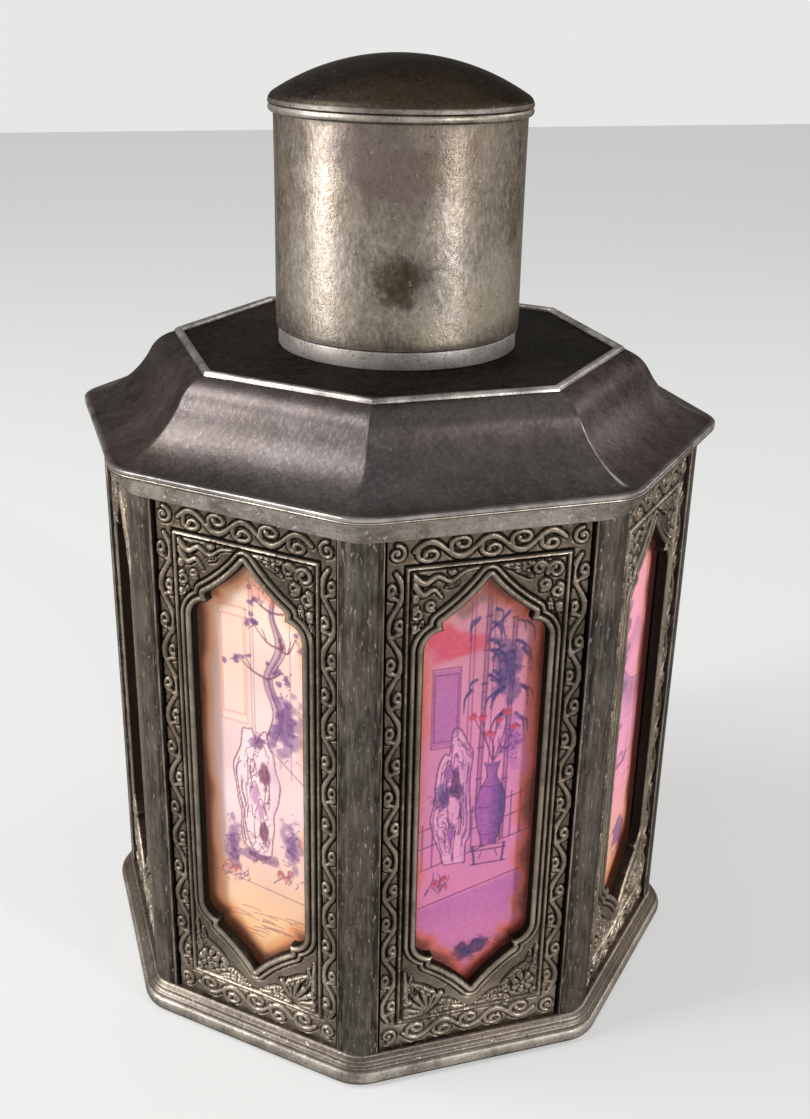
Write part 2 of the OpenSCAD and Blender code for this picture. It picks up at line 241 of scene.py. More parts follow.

# %% [markdown]
# ## Pewter
# Pewter is a soft tin alloy. Polished it is nearly white; left alone it turns
# brown-grey, stays dark in every hollow and wears bright again on every edge
# that hands and tables rub. One recipe covers all the pewter here. It reads
# two values painted on the mesh, "wear" on the edges and "grime_and_shade" in
# the hollows, which darkens them with dirt and painted shade together, and adds
# cloudy stains, fine drawn scratches and small nicks. The
# scratches are noise that is squeezed across the grain and stretched along it.

# %% The pewter recipe
def pewter(name, dark, light, worn, rough, grain=(1.0, 1.0, 0.06), grain_depth=0.1, cloud=0.6,
           nicks=0.3, warm=0.25, pits=0.2, bumpy=0.4, edge=0.55, fleck=0.70, fleck_scale=1300.0,
           stains=()):
    """A pewter finish from its dark, light and worn colours.

    stains are (place, reach, colour, strength) rows. edge tones down the mirror
    look of the metal at a glancing view. A lower fleck gives more bright scratches.
    """
    made, tree = finish_on(name)

    def times(first, second):
        return maths(tree, "MULTIPLY", first, second)

    def plus(first, second):
        return maths(tree, "ADD", first, second)

    spot = add(tree, "ShaderNodeTexCoord").outputs["Object"]
    along = add(tree, "ShaderNodeMapping", Vector=spot, Scale=grain).outputs[0]
    wear = add(tree, "ShaderNodeAttribute", {"attribute_name": "wear"}).outputs["Fac"]
    grime_and_shade = add(tree, "ShaderNodeAttribute", {"attribute_name": "grime_and_shade"}).outputs["Fac"]

    clouds = ramp(tree, noise(tree, spot, 42.0, 5.0, 0.62), 0.34, 0.68)
    mottle = ramp(tree, noise(tree, spot, 330.0, 4.0, 0.65), 0.32, 0.68)
    drawn = ramp(tree, noise(tree, along, 1500.0, 2.0, 0.5), 0.42, 0.70)
    broad = ramp(tree, noise(tree, along, 360.0, 3.0, 0.6), 0.38, 0.68)
    short = add(tree, "ShaderNodeMapping", Vector=spot, Scale=(1.0, 1.0, max(grain[2], 0.22))).outputs[0]
    specks = ramp(tree, noise(tree, short, fleck_scale, 2.0, 0.5), fleck, fleck + 0.06)
    holes = ramp(tree, noise(tree, spot, 1900.0, 2.0, 0.5), 0.30, 0.42, 1.0, 0.0)
    golden = ramp(tree, noise(tree, spot, 30.0, 3.0, 0.55), 0.45, 0.70)

    tone = times(clouds, cloud)
    tone = plus(tone, times(broad, grain_depth * 2.0))
    tone = plus(tone, times(mottle, 0.22))
    colour = blend_colours(tree, maths(tree, "MINIMUM", tone, 1.0), dark, light)
    colour = blend_colours(tree, times(drawn, grain_depth), colour, worn)
    tinted = [light[0] * 1.02, light[1] * 0.90, light[2] * 0.68, 1]
    colour = blend_colours(tree, times(golden, warm), colour, tinted)
    for place, reach, stain_colour, strength in stains:
        from_place = add(tree, "ShaderNodeVectorMath", {"operation": "DISTANCE"}, i0=spot, i1=place)
        stray = times(noise(tree, spot, 1.1 / reach, 6.0, 0.78), reach * 2.6)
        ragged = plus(from_place.outputs["Value"], stray)
        blot = ramp(tree, ragged, reach * 1.75, reach * 2.45, strength, 0.0)
        colour = blend_colours(tree, blot, colour, stain_colour)
    colour = blend_colours(tree, times(specks, nicks), colour, worn)
    patches = ramp(tree, noise(tree, spot, 120.0, 4.0, 0.65), 0.40, 0.62, 0.30, 1.0)
    rubbed = times(times(wear, patches), 1.1)
    colour = blend_colours(tree, rubbed, colour, worn)
    # A near-black tone for pits, and for the dirt and painted shade in the hollows.
    grime_and_shade_tone = (0.010, 0.008, 0.006, 1)
    colour = blend_colours(tree, times(holes, pits), colour, grime_and_shade_tone)
    # Hollows are darkened here by a painted value that holds dirt and painted shade together.
    colour = blend_colours(tree, grime_and_shade, colour, grime_and_shade_tone)

    gloss = plus(rough, times(mottle, 0.10))
    gloss = maths(tree, "SUBTRACT", gloss, times(rubbed, 0.08))
    gloss = plus(gloss, times(grime_and_shade, 0.35))
    relief = plus(times(drawn, 0.4), times(mottle, 0.7))
    relief = maths(tree, "SUBTRACT", relief, times(holes, pits))
    bump = add(tree, "ShaderNodeBump", Strength=bumpy, Distance=0.00005, Height=relief).outputs[0]
    shader = add(
        tree, "ShaderNodeBsdfPrincipled", Base_Color=colour, Metallic=0.92, Roughness=gloss, Normal=bump,
        Specular_Tint=(edge, edge * 0.96, edge * 0.92, 1)
    )
    add(tree, "ShaderNodeOutputMaterial", Surface=shader.outputs[0])
    return made


BARE = (0.60, 0.56, 0.52, 1)
CAP_STAINS = (
    ((-0.0086, -0.0200, 0.1590), 0.0120, (0.130, 0.098, 0.094, 1), 0.70),
    ((0.0030, -0.0215, 0.1600), 0.0075, (0.120, 0.088, 0.070, 1), 0.60),
    ((0.0110, -0.0188, 0.1350), 0.0085, (0.430, 0.365, 0.270, 1), 0.45),
    ((-0.0010, -0.0218, 0.1312), 0.0040, (0.480, 0.415, 0.310, 1), 0.60),
    ((-0.0072, -0.0207, 0.1402), 0.0046, (0.040, 0.027, 0.014, 1), 0.75),
    ((-0.0040, -0.0214, 0.1412), 0.0036, (0.040, 0.027, 0.014, 1), 0.70),
    ((-0.0062, -0.0209, 0.1375), 0.0030, (0.050, 0.034, 0.018, 1), 0.70),
    ((0.0150, -0.0150, 0.1460), 0.0030, (0.120, 0.070, 0.030, 1), 0.50),
)
PEWTER = {
    "wall": pewter("wall_pewter", (0.012, 0.0098, 0.0086, 1), (0.054, 0.042, 0.033, 1),
                   (0.50, 0.44, 0.38, 1), 0.42, grain=(1.0, 1.0, 0.14), grain_depth=0.17, nicks=0.48,
                   warm=0.5, fleck=0.645, fleck_scale=2700.0),
    "band": pewter("band_pewter", (0.030, 0.023, 0.017, 1), (0.128, 0.100, 0.076, 1), BARE, 0.42,
                   grain=(0.3, 0.3, 1.0), grain_depth=0.16, nicks=0.5, warm=0.8, pits=0.4, edge=0.22,
                   fleck=0.65),
    "cast": pewter("cast_pewter", (0.053, 0.0405, 0.030, 1), (0.150, 0.117, 0.088, 1),
                   (0.60, 0.51, 0.41, 1), 0.38, grain=(1.0, 1.0, 0.6), grain_depth=0.04, nicks=0.4,
                   warm=0.4),
    "worn": pewter("worn_pewter", (0.046, 0.036, 0.028, 1), (0.150, 0.122, 0.098, 1),
                   (0.64, 0.58, 0.51, 1), 0.36, grain=(1.0, 1.0, 0.7), grain_depth=0.08, nicks=0.9,
                   pits=0.5, warm=0.45, edge=0.30),
    "shoulder": pewter("shoulder_pewter", (0.036, 0.0300, 0.0290, 1), (0.116, 0.099, 0.100, 1), BARE,
                       0.31, grain=(1.0, 1.0, 0.5), grain_depth=0.05, nicks=0.12, pits=0.1, edge=0.30),
    "deck": pewter("deck_pewter", (0.016, 0.0135, 0.011, 1), (0.062, 0.053, 0.045, 1), BARE,
                   0.42, grain=(1.0, 1.0, 0.5), grain_depth=0.05, nicks=0.2, pits=0.2, edge=0.16),
    "dome": pewter("dome_pewter", (0.016, 0.012, 0.009, 1), (0.060, 0.047, 0.037, 1), BARE, 0.42,
                   grain=(1.0, 1.0, 0.8), grain_depth=0.04, nicks=0.2, pits=0.5, warm=0.6, edge=0.20),
    "cap": pewter("cap_pewter", (0.088, 0.070, 0.060, 1), (0.300, 0.256, 0.215, 1),
                  (0.80, 0.75, 0.69, 1), 0.285, grain=(1.0, 1.0, 0.5), grain_depth=0.22, nicks=0.3,
                  cloud=0.85, warm=0.45, pits=0.35, bumpy=0.62, edge=0.30, stains=CAP_STAINS),
    "inner": pewter("inner_pewter", (0.13, 0.118, 0.105, 1), (0.28, 0.26, 0.24, 1), BARE, 0.42),
    "collar": pewter("collar_pewter", (0.120, 0.105, 0.098, 1), (0.40, 0.365, 0.345, 1),
                     (0.66, 0.62, 0.60, 1), 0.46, grain=(1.0, 1.0, 0.6), grain_depth=0.10, nicks=0.4,
                     cloud=0.9, pits=0.5),
}
print("pewter finishes:", list(PEWTER))

# %% [markdown]
# ## Shapes that go round
# Most pieces of sheet and moulding follow the eight sides. Each is a section
# swept round a path, and the path is an octagon whose corners are rounded by
# a radius of their own. The section is softened first: every corner of it
# becomes a small arc, and the middle of each arc is marked as worn.

# %% Sections and paths
def soften(points, radius, steps=4, closed=True):
    """Rounds each corner of a section. Returns (across, up, wear) rows."""
    count = len(points)
    out = []
    for k, here in enumerate(points):
        r = radius[k] if isinstance(radius, (list, tuple)) else radius
        p = np.array(here, float)
        if r <= 0 or (not closed and k in (0, count - 1)):
            out.append((p[0], p[1], 0.0))
            continue
        before = np.array(points[k - 1], float) - p
        after = np.array(points[(k + 1) % count], float) - p
        reach = min(r, 0.45 * np.linalg.norm(before), 0.45 * np.linalg.norm(after))
        start = p + before / np.linalg.norm(before) * reach
        end = p + after / np.linalg.norm(after) * reach
        for j in range(steps + 1):
            t = j / steps
            spot = (1 - t) ** 2 * start + 2 * t * (1 - t) * p + t ** 2 * end
            out.append((spot[0], spot[1], 1.0 if 0 < j < steps else 0.0))
    return out


def heading(angle):
    """One step in the direction of an angle."""
    return np.array((math.cos(angle), math.sin(angle)))


def octagon_ring(apothem, corner, arc_steps=6, flat_steps=6):
    """Points round an octagon with rounded corners, and the outward direction at each."""
    reach = (apothem - corner) / math.cos(TURN / 2)
    spots, ways = [], []
    for k in range(SIDES):
        angle = TURN * (k + 0.5)
        for j in range(arc_steps + 1):
            way = angle + TURN * (j / arc_steps - 0.5)
            spots.append(reach * heading(angle) + corner * heading(way))
            ways.append(way)
        start = spots[-1]
        way = angle + TURN / 2
        end = reach * heading(angle + TURN) + corner * heading(way)
        for j in range(1, flat_steps):
            spots.append(start + (end - start) * j / flat_steps)
            ways.append(way)
    return np.array(spots), np.array(ways)


def circle_ring(radius, steps=128):
    """Points round a circle, and the outward direction at each."""
    ways = np.arange(steps) * 2 * math.pi / steps
    return np.stack((radius * np.cos(ways), radius * np.sin(ways)), 1), ways


def sheet_section(inner, outer, low, high):
    """The section of a straight sheet wall, anticlockwise from its inner lower corner."""
    return [(inner, low), (outer, low), (outer, high), (inner, high)]


print("points round an octagon:", len(octagon_ring(50 * MM, 5 * MM)[0]))

# %% [markdown]
# The caddy was made by hand, so nothing on it is perfectly flat. A smooth
# three-dimensional ripple, made of a few sine waves with seeded directions,
# moves every swept surface by a small part of a millimetre.

# %% Making a piece
WAVES = np.random.default_rng(7).normal(size=(9, 3))
WAVES_PHASE = np.random.default_rng(8).uniform(0, 2 * math.pi, 9)


def ripple(points, length):
    """A smooth value from about -1 to 1 at each point. length is the size of a ripple."""
    turns = points @ (WAVES.T / length) + WAVES_PHASE
    return np.sin(turns).sum(1) / 5.0


def make_piece(name, verts, faces, body, finish, nodes, wear=None, grime_and_shade=None, sharp=40):
    """A mesh object that rides on a body, stands for CAD nodes and carries painted values."""
    mesh = bpy.data.meshes.new(name)
    mesh.from_pydata([tuple(v) for v in verts], [], faces)
    mesh.validate()
    for key, values in (("wear", wear), ("grime_and_shade", grime_and_shade)):
        layer = mesh.attributes.new(key, "FLOAT", "POINT")
        filled = np.zeros(len(verts)) if values is None else np.asarray(values, float)
        layer.data.foreach_set("value", filled.astype(np.float32))
    mesh.shade_smooth()
    mesh.set_sharp_from_angle(angle=math.radians(sharp))
    mesh.materials.append(finish)
    piece = bpy.data.objects.new(name, mesh)
    bpy.context.collection.objects.link(piece)
    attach(piece, body)
    if nodes:
        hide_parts(*nodes)
    return piece


def ring_faces(rings, count, closed=False, capped=False):
    """Quads between rings of points, with a face over each end where it is capped."""
    faces = []
    for k in range(rings if closed else rings - 1):
        here, there = k * count, (k + 1) % rings * count
        for j in range(count):
            after = (j + 1) % count
            faces.append((here + j, here + after, there + after, there + j))
    if capped:
        faces.append(tuple(reversed(range(count))))
        faces.append(tuple((rings - 1) * count + j for j in range(count)))
    return faces


def sweep(name, section, ring, body, finish, nodes, uneven=0.0, inward=False, sharp=40, dirt_and_shade=None):
    """Sweeps a section of (across, up, wear, corner) rows round the axis."""
    rows, wear = [], []
    for row in section:
        spots, ways = ring(row)
        up = np.full((len(spots), 1), row[1])
        points = np.hstack((spots, up))
        if uneven:
            shift = ripple(points, 0.02) * uneven
            if inward:
                shift = -np.abs(shift)
            points[:, 0] += shift * np.cos(ways)
            points[:, 1] += shift * np.sin(ways)
        rows.append(points)
        wear.append(np.full(len(points), row[2]))
    faces = ring_faces(len(rows), len(rows[0]), closed=True)
    verts = np.vstack(rows)
    # The darkening function, where one is given, paints dirt together with painted shade onto the points.
    grime_and_shade = None if dirt_and_shade is None else dirt_and_shade(verts)
    return make_piece(name, verts, faces, body, finish, nodes, np.concatenate(wear), grime_and_shade, sharp)


def round_(row):
    """A ring function for sweep() on turned pieces."""
    return circle_ring(row[0])


print("ripple at the origin:", round(float(ripple(np.zeros((1, 3)), 0.02)[0]), 3))

# %% [markdown]
# ## Foot and walls
# The foot is a drawn moulding: a broad bead that takes all the knocks, and
# two fine steps above it. Its section is written as a short outline in
# millimetres, measured from the wall's face and from the table.

# %% The foot moulding
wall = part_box("base_band")[1][0]
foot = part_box("foot_rim")[1]
FOOT_STEPS = [
    (0.0, 0.0), (1.6, 0.0), (2.25, 0.5), (2.5, 1.2), (2.5, 2.0), (2.2, 2.75), (1.75, 3.05),
    (1.65, 3.45), (1.25, 3.9), (1.05, 4.1), (0.95, 4.5), (0.3, 5.2), (0.0, 5.4),
]
foot_wide = (foot[0] - wall) / (2.5 * MM)
foot_tall = foot[2] / (5.4 * MM)
foot_section = [
    (wall + out * MM * foot_wide, up * MM * foot_tall) for out, up in FOOT_STEPS
]
foot_softened = soften(foot_section, [0] + [0.5 * MM] * 11 + [0])
WALL_ROUND = 5.4 * MM


def foot_row(row):
    """The foot's corner radius grows with its width, so its corners stay concentric."""
    return octagon_ring(row[0], WALL_ROUND + (row[0] - wall) * 1.4)


foot_wear = [
    (a, z, max(w * 0.30, 0.55 if 0.9 * MM < z < 2.9 * MM and a > wall + 1.9 * MM else 0.0))
    for a, z, w in foot_softened
]


def foot_dirt_and_shade(points):
    """Painted shade under the bead, and dirt with painted shade in the creases up to where the moulding meets
    the wall.
    """
    under = np.clip((1.0 * MM - points[:, 2]) / (1.0 * MM), 0, 1)
    groove = np.exp(-((points[:, 2] - 3.15 * MM) / (0.22 * MM)) ** 2)
    step = np.exp(-((points[:, 2] - 4.15 * MM) / (0.18 * MM)) ** 2)
    return np.clip(0.9 * under + 0.55 * groove + 0.4 * step, 0, 0.95)


sweep("foot_moulding", foot_wear, foot_row, "caddy", PEWTER["worn"], ["foot_rim"],
      uneven=0.14 * MM, inward=True, dirt_and_shade=foot_dirt_and_shade)
print("foot stands out", round((foot[0] - wall) / MM, 2), "mm")

# %% [markdown]
# The caddy is closed below by a bottom plate and, inside, by the floor of its
# liner. Both are flat sheets cut to the octagon. A stack of outlines, drawn in a
# little at the faces, gives them soft edges.

# %% Plates that close the caddy from below
def plate(name, ring_points, z0, z1, soft, body, finish, nodes):
    """A flat plate with softened edges over an outline."""
    spots, ways = ring_points
    inset = np.stack((np.cos(ways), np.sin(ways)), 1) * soft
    levels = [
        (z0, 1), (z0 + soft * 0.3, 0.3), (z0 + soft, 0), (z1 - soft, 0), (z1 - soft * 0.3, 0.3), (z1, 1)
    ]
    verts = [np.hstack((spots - inset * share, np.full((len(spots), 1), z))) for z, share in levels]
    faces = ring_faces(len(levels), len(spots), capped=True)
    wear = np.repeat([0, 1, 0, 0, 1, 0], len(spots))
    return make_piece(name, np.vstack(verts), faces, body, finish, nodes, wear)


low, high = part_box("foot_plate")
plate("bottom_plate", octagon_ring(high[0], WALL_ROUND), low[2], high[2], 0.2 * MM,
      "caddy", PEWTER["wall"], ["foot_plate"])
low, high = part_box("liner_floor")
plate("liner_bottom", octagon_ring(high[0], 0.4 * MM), low[2], high[2], 0.2 * MM,
      "caddy", PEWTER["inner"], ["liner_floor"])
liner_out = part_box("liner_wall")[1][0]
print("liner is", round(2 * liner_out / MM, 1), "mm across")

# %% [markdown]
# The walls are eight bent corner strips between a band at the top and one at
# the bottom. The strips are drawn straight down the box, so their section is
# extruded. A flange behind the face of each strip carries the ornament plates.

# %% Bands and corner strips
def band_ring(row):
    """Walls have round corners outside and tight ones inside."""
    return octagon_ring(row[0], WALL_ROUND if row[0] > wall - 2 * MM else 0.4 * MM)


def lip_shadow(points):
    """Painted shade close under the lip."""
    return 0.75 * np.clip(1 - (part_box("top_band")[1][2] - points[:, 2]) / (0.9 * MM), 0, 1)


for node, rub in (("base_band", 0.0), ("top_band", 0.32)):
    low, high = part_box(node)
    levels = np.linspace(low[2], high[2], 7)
    section = [(liner_out, low[2], 0.0)] + [(high[0], z, rub) for z in levels] + [(liner_out, high[2], 0.0)]
    sweep(node + "_strip", section, band_ring, "caddy", PEWTER["band"], [node],
          dirt_and_shade=lip_shadow if node == "top_band" else None)

low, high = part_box("liner_wall")
LINER_SHEET = 1.1 * MM
liner_section = sheet_section(high[0] - LINER_SHEET, high[0], low[2], high[2])
sweep("liner_sheet", soften(liner_section, 0.15 * MM), band_ring, "caddy", PEWTER["inner"],
      ["liner_wall"])

PANEL_HALF = 18.0 * MM
POST_FACE = 2.5 * MM
POST_FLANGE = 1.2 * MM
FLANGE_EDGE = PANEL_HALF - 2.2 * MM
post_low, post_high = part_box("post_1")[0][2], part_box("post_1")[1][2]


def across_corner(p):
    """The mirror image of a point in the corner after the +X side."""
    return (p[0] * math.cos(TURN) + p[1] * math.sin(TURN), p[0] * math.sin(TURN) - p[1] * math.cos(TURN))


def post_outline():
    """The bent strip's section on the +X side's far corner, as (x, y, wear) rows."""
    slope = math.tan(TURN / 2)
    back = wall - POST_FACE - POST_FLANGE
    near = [
        (back, FLANGE_EDGE), (back + POST_FLANGE, FLANGE_EDGE), (back + POST_FLANGE, PANEL_HALF),
        (wall, PANEL_HALF),
    ]
    soft = soften(near, [0.1 * MM, 0.1 * MM, 0.0, 0.3 * MM], closed=False)
    soft = soft[:-1] + soften([near[2], near[3], (wall, PANEL_HALF + 3 * MM)], 0.3 * MM, closed=False)[1:-1]
    centre = (wall - WALL_ROUND) * np.array((1, slope))
    arc_steps = 12
    half = [(wall, (wall - WALL_ROUND) * slope * 0.96, 0.0)]
    arc = [
        (*(centre + WALL_ROUND * heading(t)), 0.25)
        for t in np.linspace(0, TURN, arc_steps)
    ]
    far = [(*across_corner(p), p[2]) for p in reversed(soft + half)]
    return soft + half + arc + far + [(back, back * slope, 0.0)]


def turn_to_side(points, number):
    """Turns points from the +X side to a numbered side. Side 1 faces -Y."""
    angle = -math.pi / 2 + TURN * (number - 1)
    c, s = math.cos(angle), math.sin(angle)
    turned = np.array(points, float)
    turned[:, 0], turned[:, 1] = c * turned[:, 0] - s * turned[:, 1], s * turned[:, 0] + c * turned[:, 1]
    return turned


outline = post_outline()
LEVELS = 24
POST_SQUEEZE = 0.0016
for number in range(1, SIDES + 1):
    section = turn_to_side([(x, y, 0) for x, y, _ in outline], number)
    rows = []
    for k in range(LEVELS + 1):
        level = section.copy()
        level[:, 2] = post_low + (post_high - post_low) * k / LEVELS
        fade = math.sin(math.pi * k / LEVELS)
        squeeze = 1 - POST_SQUEEZE * fade * (0.5 + 0.5 * ripple(level, 0.02))
        level[:, :2] *= squeeze[:, None]
        rows.append(level)
    faces = ring_faces(LEVELS + 1, len(section), capped=True)
    wear = np.tile([w * 0.55 for _, _, w in outline], LEVELS + 1)
    make_piece(f"corner_strip_{number}", np.vstack(rows), faces, "caddy", PEWTER["wall"],
               [f"post_{number}"], wear)
print("corner strips:", SIDES)

# %% [markdown]
# ## Shoulder, lip and deck
# The shoulder sheet bulges out below the deck, turns through a soft hollow
# and runs out into a thin lip. Two arcs that share a tangent give that curve.
# Their radii are worked out so that together they span exactly the width and
# height between the deck's edge and the lip.

# %% The shoulder's two arcs
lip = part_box("shoulder")[1][0]
lip_plate_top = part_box("lip_plate")[1][2]
deck_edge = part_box("deck")[1][0]
deck_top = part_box("deck")[1][2]
LIP_SHEET = 0.7 * MM
RIDGE_WIDTH = 1.6 * MM
SLOPE_TOP, SLOPE_MID, SLOPE_LIP = (math.radians(d) for d in (15, 63, 8))
ridge_edge = deck_edge + RIDGE_WIDTH
lip_top = lip_plate_top + LIP_SHEET


def square_to(slope):
    """One step out of a surface that slopes down by an angle."""
    return np.array((math.sin(slope), math.cos(slope)))


def two_arcs(start, end):
    """Centres and radii of the bulging and the hollow arc between two points."""
    def spread(a, b):
        return np.array((math.sin(b) - math.sin(a), math.cos(a) - math.cos(b)))
    rows = np.stack((spread(SLOPE_TOP, SLOPE_MID), spread(SLOPE_LIP, SLOPE_MID)), 1)
    bulge, hollow = np.linalg.solve(rows, (end[0] - start[0], start[1] - end[1]))
    bulge_centre = np.array(start) - bulge * square_to(SLOPE_TOP)
    hollow_centre = bulge_centre + (bulge + hollow) * square_to(SLOPE_MID)
    return bulge_centre, bulge, hollow_centre, hollow


bulge_centre, bulge, hollow_centre, hollow = two_arcs((ridge_edge, deck_top), (lip, lip_top))
ARC_STEPS = 18
print("radii of the shoulder:", round(bulge / MM, 1), "and", round(hollow / MM, 1), "mm")


def shoulder_curve(thickness):
    """Points down the shoulder's upper face, or below it by the sheet's thickness."""
    first, second = bulge - thickness, hollow + thickness
    over = [bulge_centre + first * square_to(a) for a in np.linspace(SLOPE_TOP, SLOPE_MID, ARC_STEPS)]
    down = [hollow_centre - second * square_to(a) for a in np.linspace(SLOPE_MID, SLOPE_LIP, ARC_STEPS)]
    return [tuple(point) for point in over + down[1:]]


# %% [markdown]
# The corners of the shoulder are crisp where the sheets are mitred and soften
# towards the lip, so the corner radius grows on the way down. One old dent is
# pressed into the left front slope, and a bright scrape runs down the crease
# on the right.

# %% The shoulder sheet
LIP_ROUND = 9 * MM
SHOULDER_SHEET = 1.0 * MM


def corner_at(across):
    """The corner radius of the shoulder at a distance from the axis."""
    share = np.clip((across - ridge_edge) / (lip - ridge_edge), 0, 1)
    return 0.5 * MM + (LIP_ROUND - 0.5 * MM) * share ** 3.2


upper = [(a, z, 0.0, corner_at(a)) for a, z in shoulder_curve(0)]
edge = [
    (lip, lip_top - 0.15 * MM, 0.6, LIP_ROUND), (lip, lip_plate_top + 0.15 * MM, 0.6, LIP_ROUND),
    (lip - 0.15 * MM, lip_plate_top, 0.1, LIP_ROUND),
]
upper[-1] = (lip - 0.15 * MM, upper[-1][1], 0.35, LIP_ROUND)
under = [
    (a, max(z, lip_plate_top), 0.0, corner_at(a)) for a, z in reversed(shoulder_curve(SHOULDER_SHEET))
    if a < lip - 1 * MM
]
top = [(deck_edge, deck_top - SHOULDER_SHEET, 0.0, 0.4 * MM), (deck_edge, deck_top, 0.0, 0.4 * MM)]
shoulder = sweep(
    "shoulder_sheet", upper + edge + under + top,
    lambda row: octagon_ring(row[0], row[3], arc_steps=6, flat_steps=16),
    "caddy", PEWTER["shoulder"], ["shoulder"], uneven=0.10 * MM, inward=True, sharp=32,
)
DENT = Vector((-0.0445, -0.0255, 0.1185))
DENT_WIDE, DENT_DEEP = 1.6 * MM, 0.35 * MM
for vertex in shoulder.data.vertices:
    away = (vertex.co - DENT).length / DENT_WIDE
    if away < 2.5:
        push = Vector((vertex.co.x, vertex.co.y, 0.03)).normalized()
        vertex.co -= push * DENT_DEEP * math.exp(-away ** 2)
SCRAPE_ANGLE = -math.pi / 2 + TURN / 2
SCRAPE_LOW, SCRAPE_HIGH = 0.1125, 0.1205
SCRAPE_HALF, SCRAPE_WEAR = 0.10 * MM, 0.75
shoulder_wear = shoulder.data.attributes["wear"].data
for vertex, painted in zip(shoulder.data.vertices, shoulder_wear):
    x, y, z = vertex.co
    beside = abs(math.atan2(y, x) - SCRAPE_ANGLE) * math.hypot(x, y)
    if beside < SCRAPE_HALF and SCRAPE_LOW < z < SCRAPE_HIGH:
        painted.value = SCRAPE_WEAR

plate_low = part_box("lip_plate")[0][2]
lip_section = sheet_section(liner_out - LINER_SHEET, lip, plate_low, lip_plate_top)
lip_rows = [(a, z, w * 0.8) for a, z, w in soften(lip_section, [0, 0.22 * MM, 0.22 * MM, 0])]
sweep("lip_edge", lip_rows,
      lambda row: octagon_ring(row[0], LIP_ROUND if row[0] > wall else 0.4 * MM, flat_steps=16),
      "caddy", PEWTER["worn"], ["lip_plate"], uneven=0.12 * MM, inward=True)
print("lip is", round(2 * lip / MM, 1), "mm across")

# %% [markdown]
# The deck is a flat plate with a round hole for the neck, and it sags by up to a
# tenth of a millimetre. It is made of rings that turn step by step from the hole's circle
# into the octagon. A bead of solder, worn bright, runs along its edge.

# %% The deck and its bead
ridge_mid = deck_edge + RIDGE_WIDTH / 2
bead = [
    (ridge_mid - RIDGE_WIDTH / 2 * math.cos(t), deck_top + RIDGE_WIDTH / 2 * math.sin(t), 0.60, 0.3 * MM)
    for t in np.linspace(0, math.pi, 9)
]
sweep("ridge_moulding", bead, lambda row: octagon_ring(row[0], row[3], arc_steps=3, flat_steps=12),
      "caddy", PEWTER["shoulder"], ["ridge_bead"], uneven=0.08 * MM, inward=True, sharp=60)

neck_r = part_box("neck")[1][0]
deck_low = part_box("deck")[0][2]
outer_ring, _ = octagon_ring(deck_edge, 0.4 * MM, arc_steps=2, flat_steps=14)
DECK_RINGS = 16
DECK_SAG = 0.10 * MM
angles = np.arctan2(outer_ring[:, 1], outer_ring[:, 0])
inner_ring = np.stack((neck_r * np.cos(angles), neck_r * np.sin(angles)), 1)
rows = []
for z, ranks in ((deck_top, range(DECK_RINGS + 1)), (deck_low, range(DECK_RINGS, -1, -1))):
    for k in ranks:
        share = k / DECK_RINGS
        flat = inner_ring * (1 - share) + outer_ring * share
        points = np.hstack((flat, np.full((len(flat), 1), z)))
        points[:, 2] -= DECK_SAG * math.sin(math.pi * share) * (0.5 + 0.5 * ripple(points, 0.012))
        rows.append(points)
faces = ring_faces(len(rows), len(outer_ring), closed=True)
make_piece("deck_sheet", np.vstack(rows), faces, "caddy", PEWTER["deck"], ["deck"])
print("deck is", round(2 * deck_edge / MM, 1), "mm across")

# %% [markdown]
# ## Neck, stopper and cap
# These are turned pieces: a section goes once round the axis. The cap is the
# piece that hands have polished, so it is the brightest, with brown stains
# where it was held. Its dome was left dark.

# %% Neck and collar
low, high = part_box("neck")
NECK_SHEET = 1.2 * MM
neck_section = sheet_section(high[0] - NECK_SHEET, high[0], low[2], high[2])
sweep("neck_tube", soften(neck_section, 0.2 * MM), round_, "caddy", PEWTER["inner"], ["neck"])
low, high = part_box("collar")
collar_section = sheet_section(neck_r, high[0], low[2], high[2])
collar_rows = [(a, z, 0.2) for a, z, _ in soften(collar_section, [0, 0.2 * MM, 0.45 * MM, 0])]


def collar_dirt_and_shade(points):
    """Dirt and painted shade where the collar meets the deck, and a little at its top."""
    rise = (points[:, 2] - deck_top) / MM
    return np.clip(0.8 * np.exp(-rise / 0.25) + 0.35 * np.exp(-np.abs(rise - 3.3) / 0.2), 0, 1)


sweep("collar_ring", collar_rows, round_, "caddy", PEWTER["collar"], ["collar"],
      dirt_and_shade=collar_dirt_and_shade)
print("neck is", round(2 * neck_r / MM, 1), "mm across")

# %% [markdown]
# The stopper keeps the tea dry below the cap. It is a disc that rests on the
# neck's rim, a skirt that fits inside the neck and a turned knob. It rides on a
# body of its own, which rises with the cap but less far.

# %% The stopper
low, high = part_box("plug_disc")
plate("stopper_disc", circle_ring(high[0]), low[2], high[2], 0.3 * MM, "stopper", PEWTER["inner"],
      ["plug_disc"])
low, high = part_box("plug_skirt")
PLUG_SHEET = 1.0 * MM
skirt_section = sheet_section(high[0] - PLUG_SHEET, high[0], low[2], high[2])
sweep("stopper_skirt", soften(skirt_section, 0.25 * MM), round_, "stopper", PEWTER["inner"],
      ["plug_skirt"])
low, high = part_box("plug_knob")
knob_r, knob_h = high[0], high[2] - low[2]
KNOB = [
    (0.02, 0), (0.72, 0), (0.60, 0.10), (0.46, 0.28), (0.44, 0.42), (0.62, 0.50), (0.92, 0.60),
    (1.0, 0.74), (0.94, 0.88), (0.70, 0.97), (0.30, 1.0), (0.02, 1.0),
]
knob_rows = soften([(a * knob_r, low[2] + z * knob_h) for a, z in KNOB], 0.3 * MM)
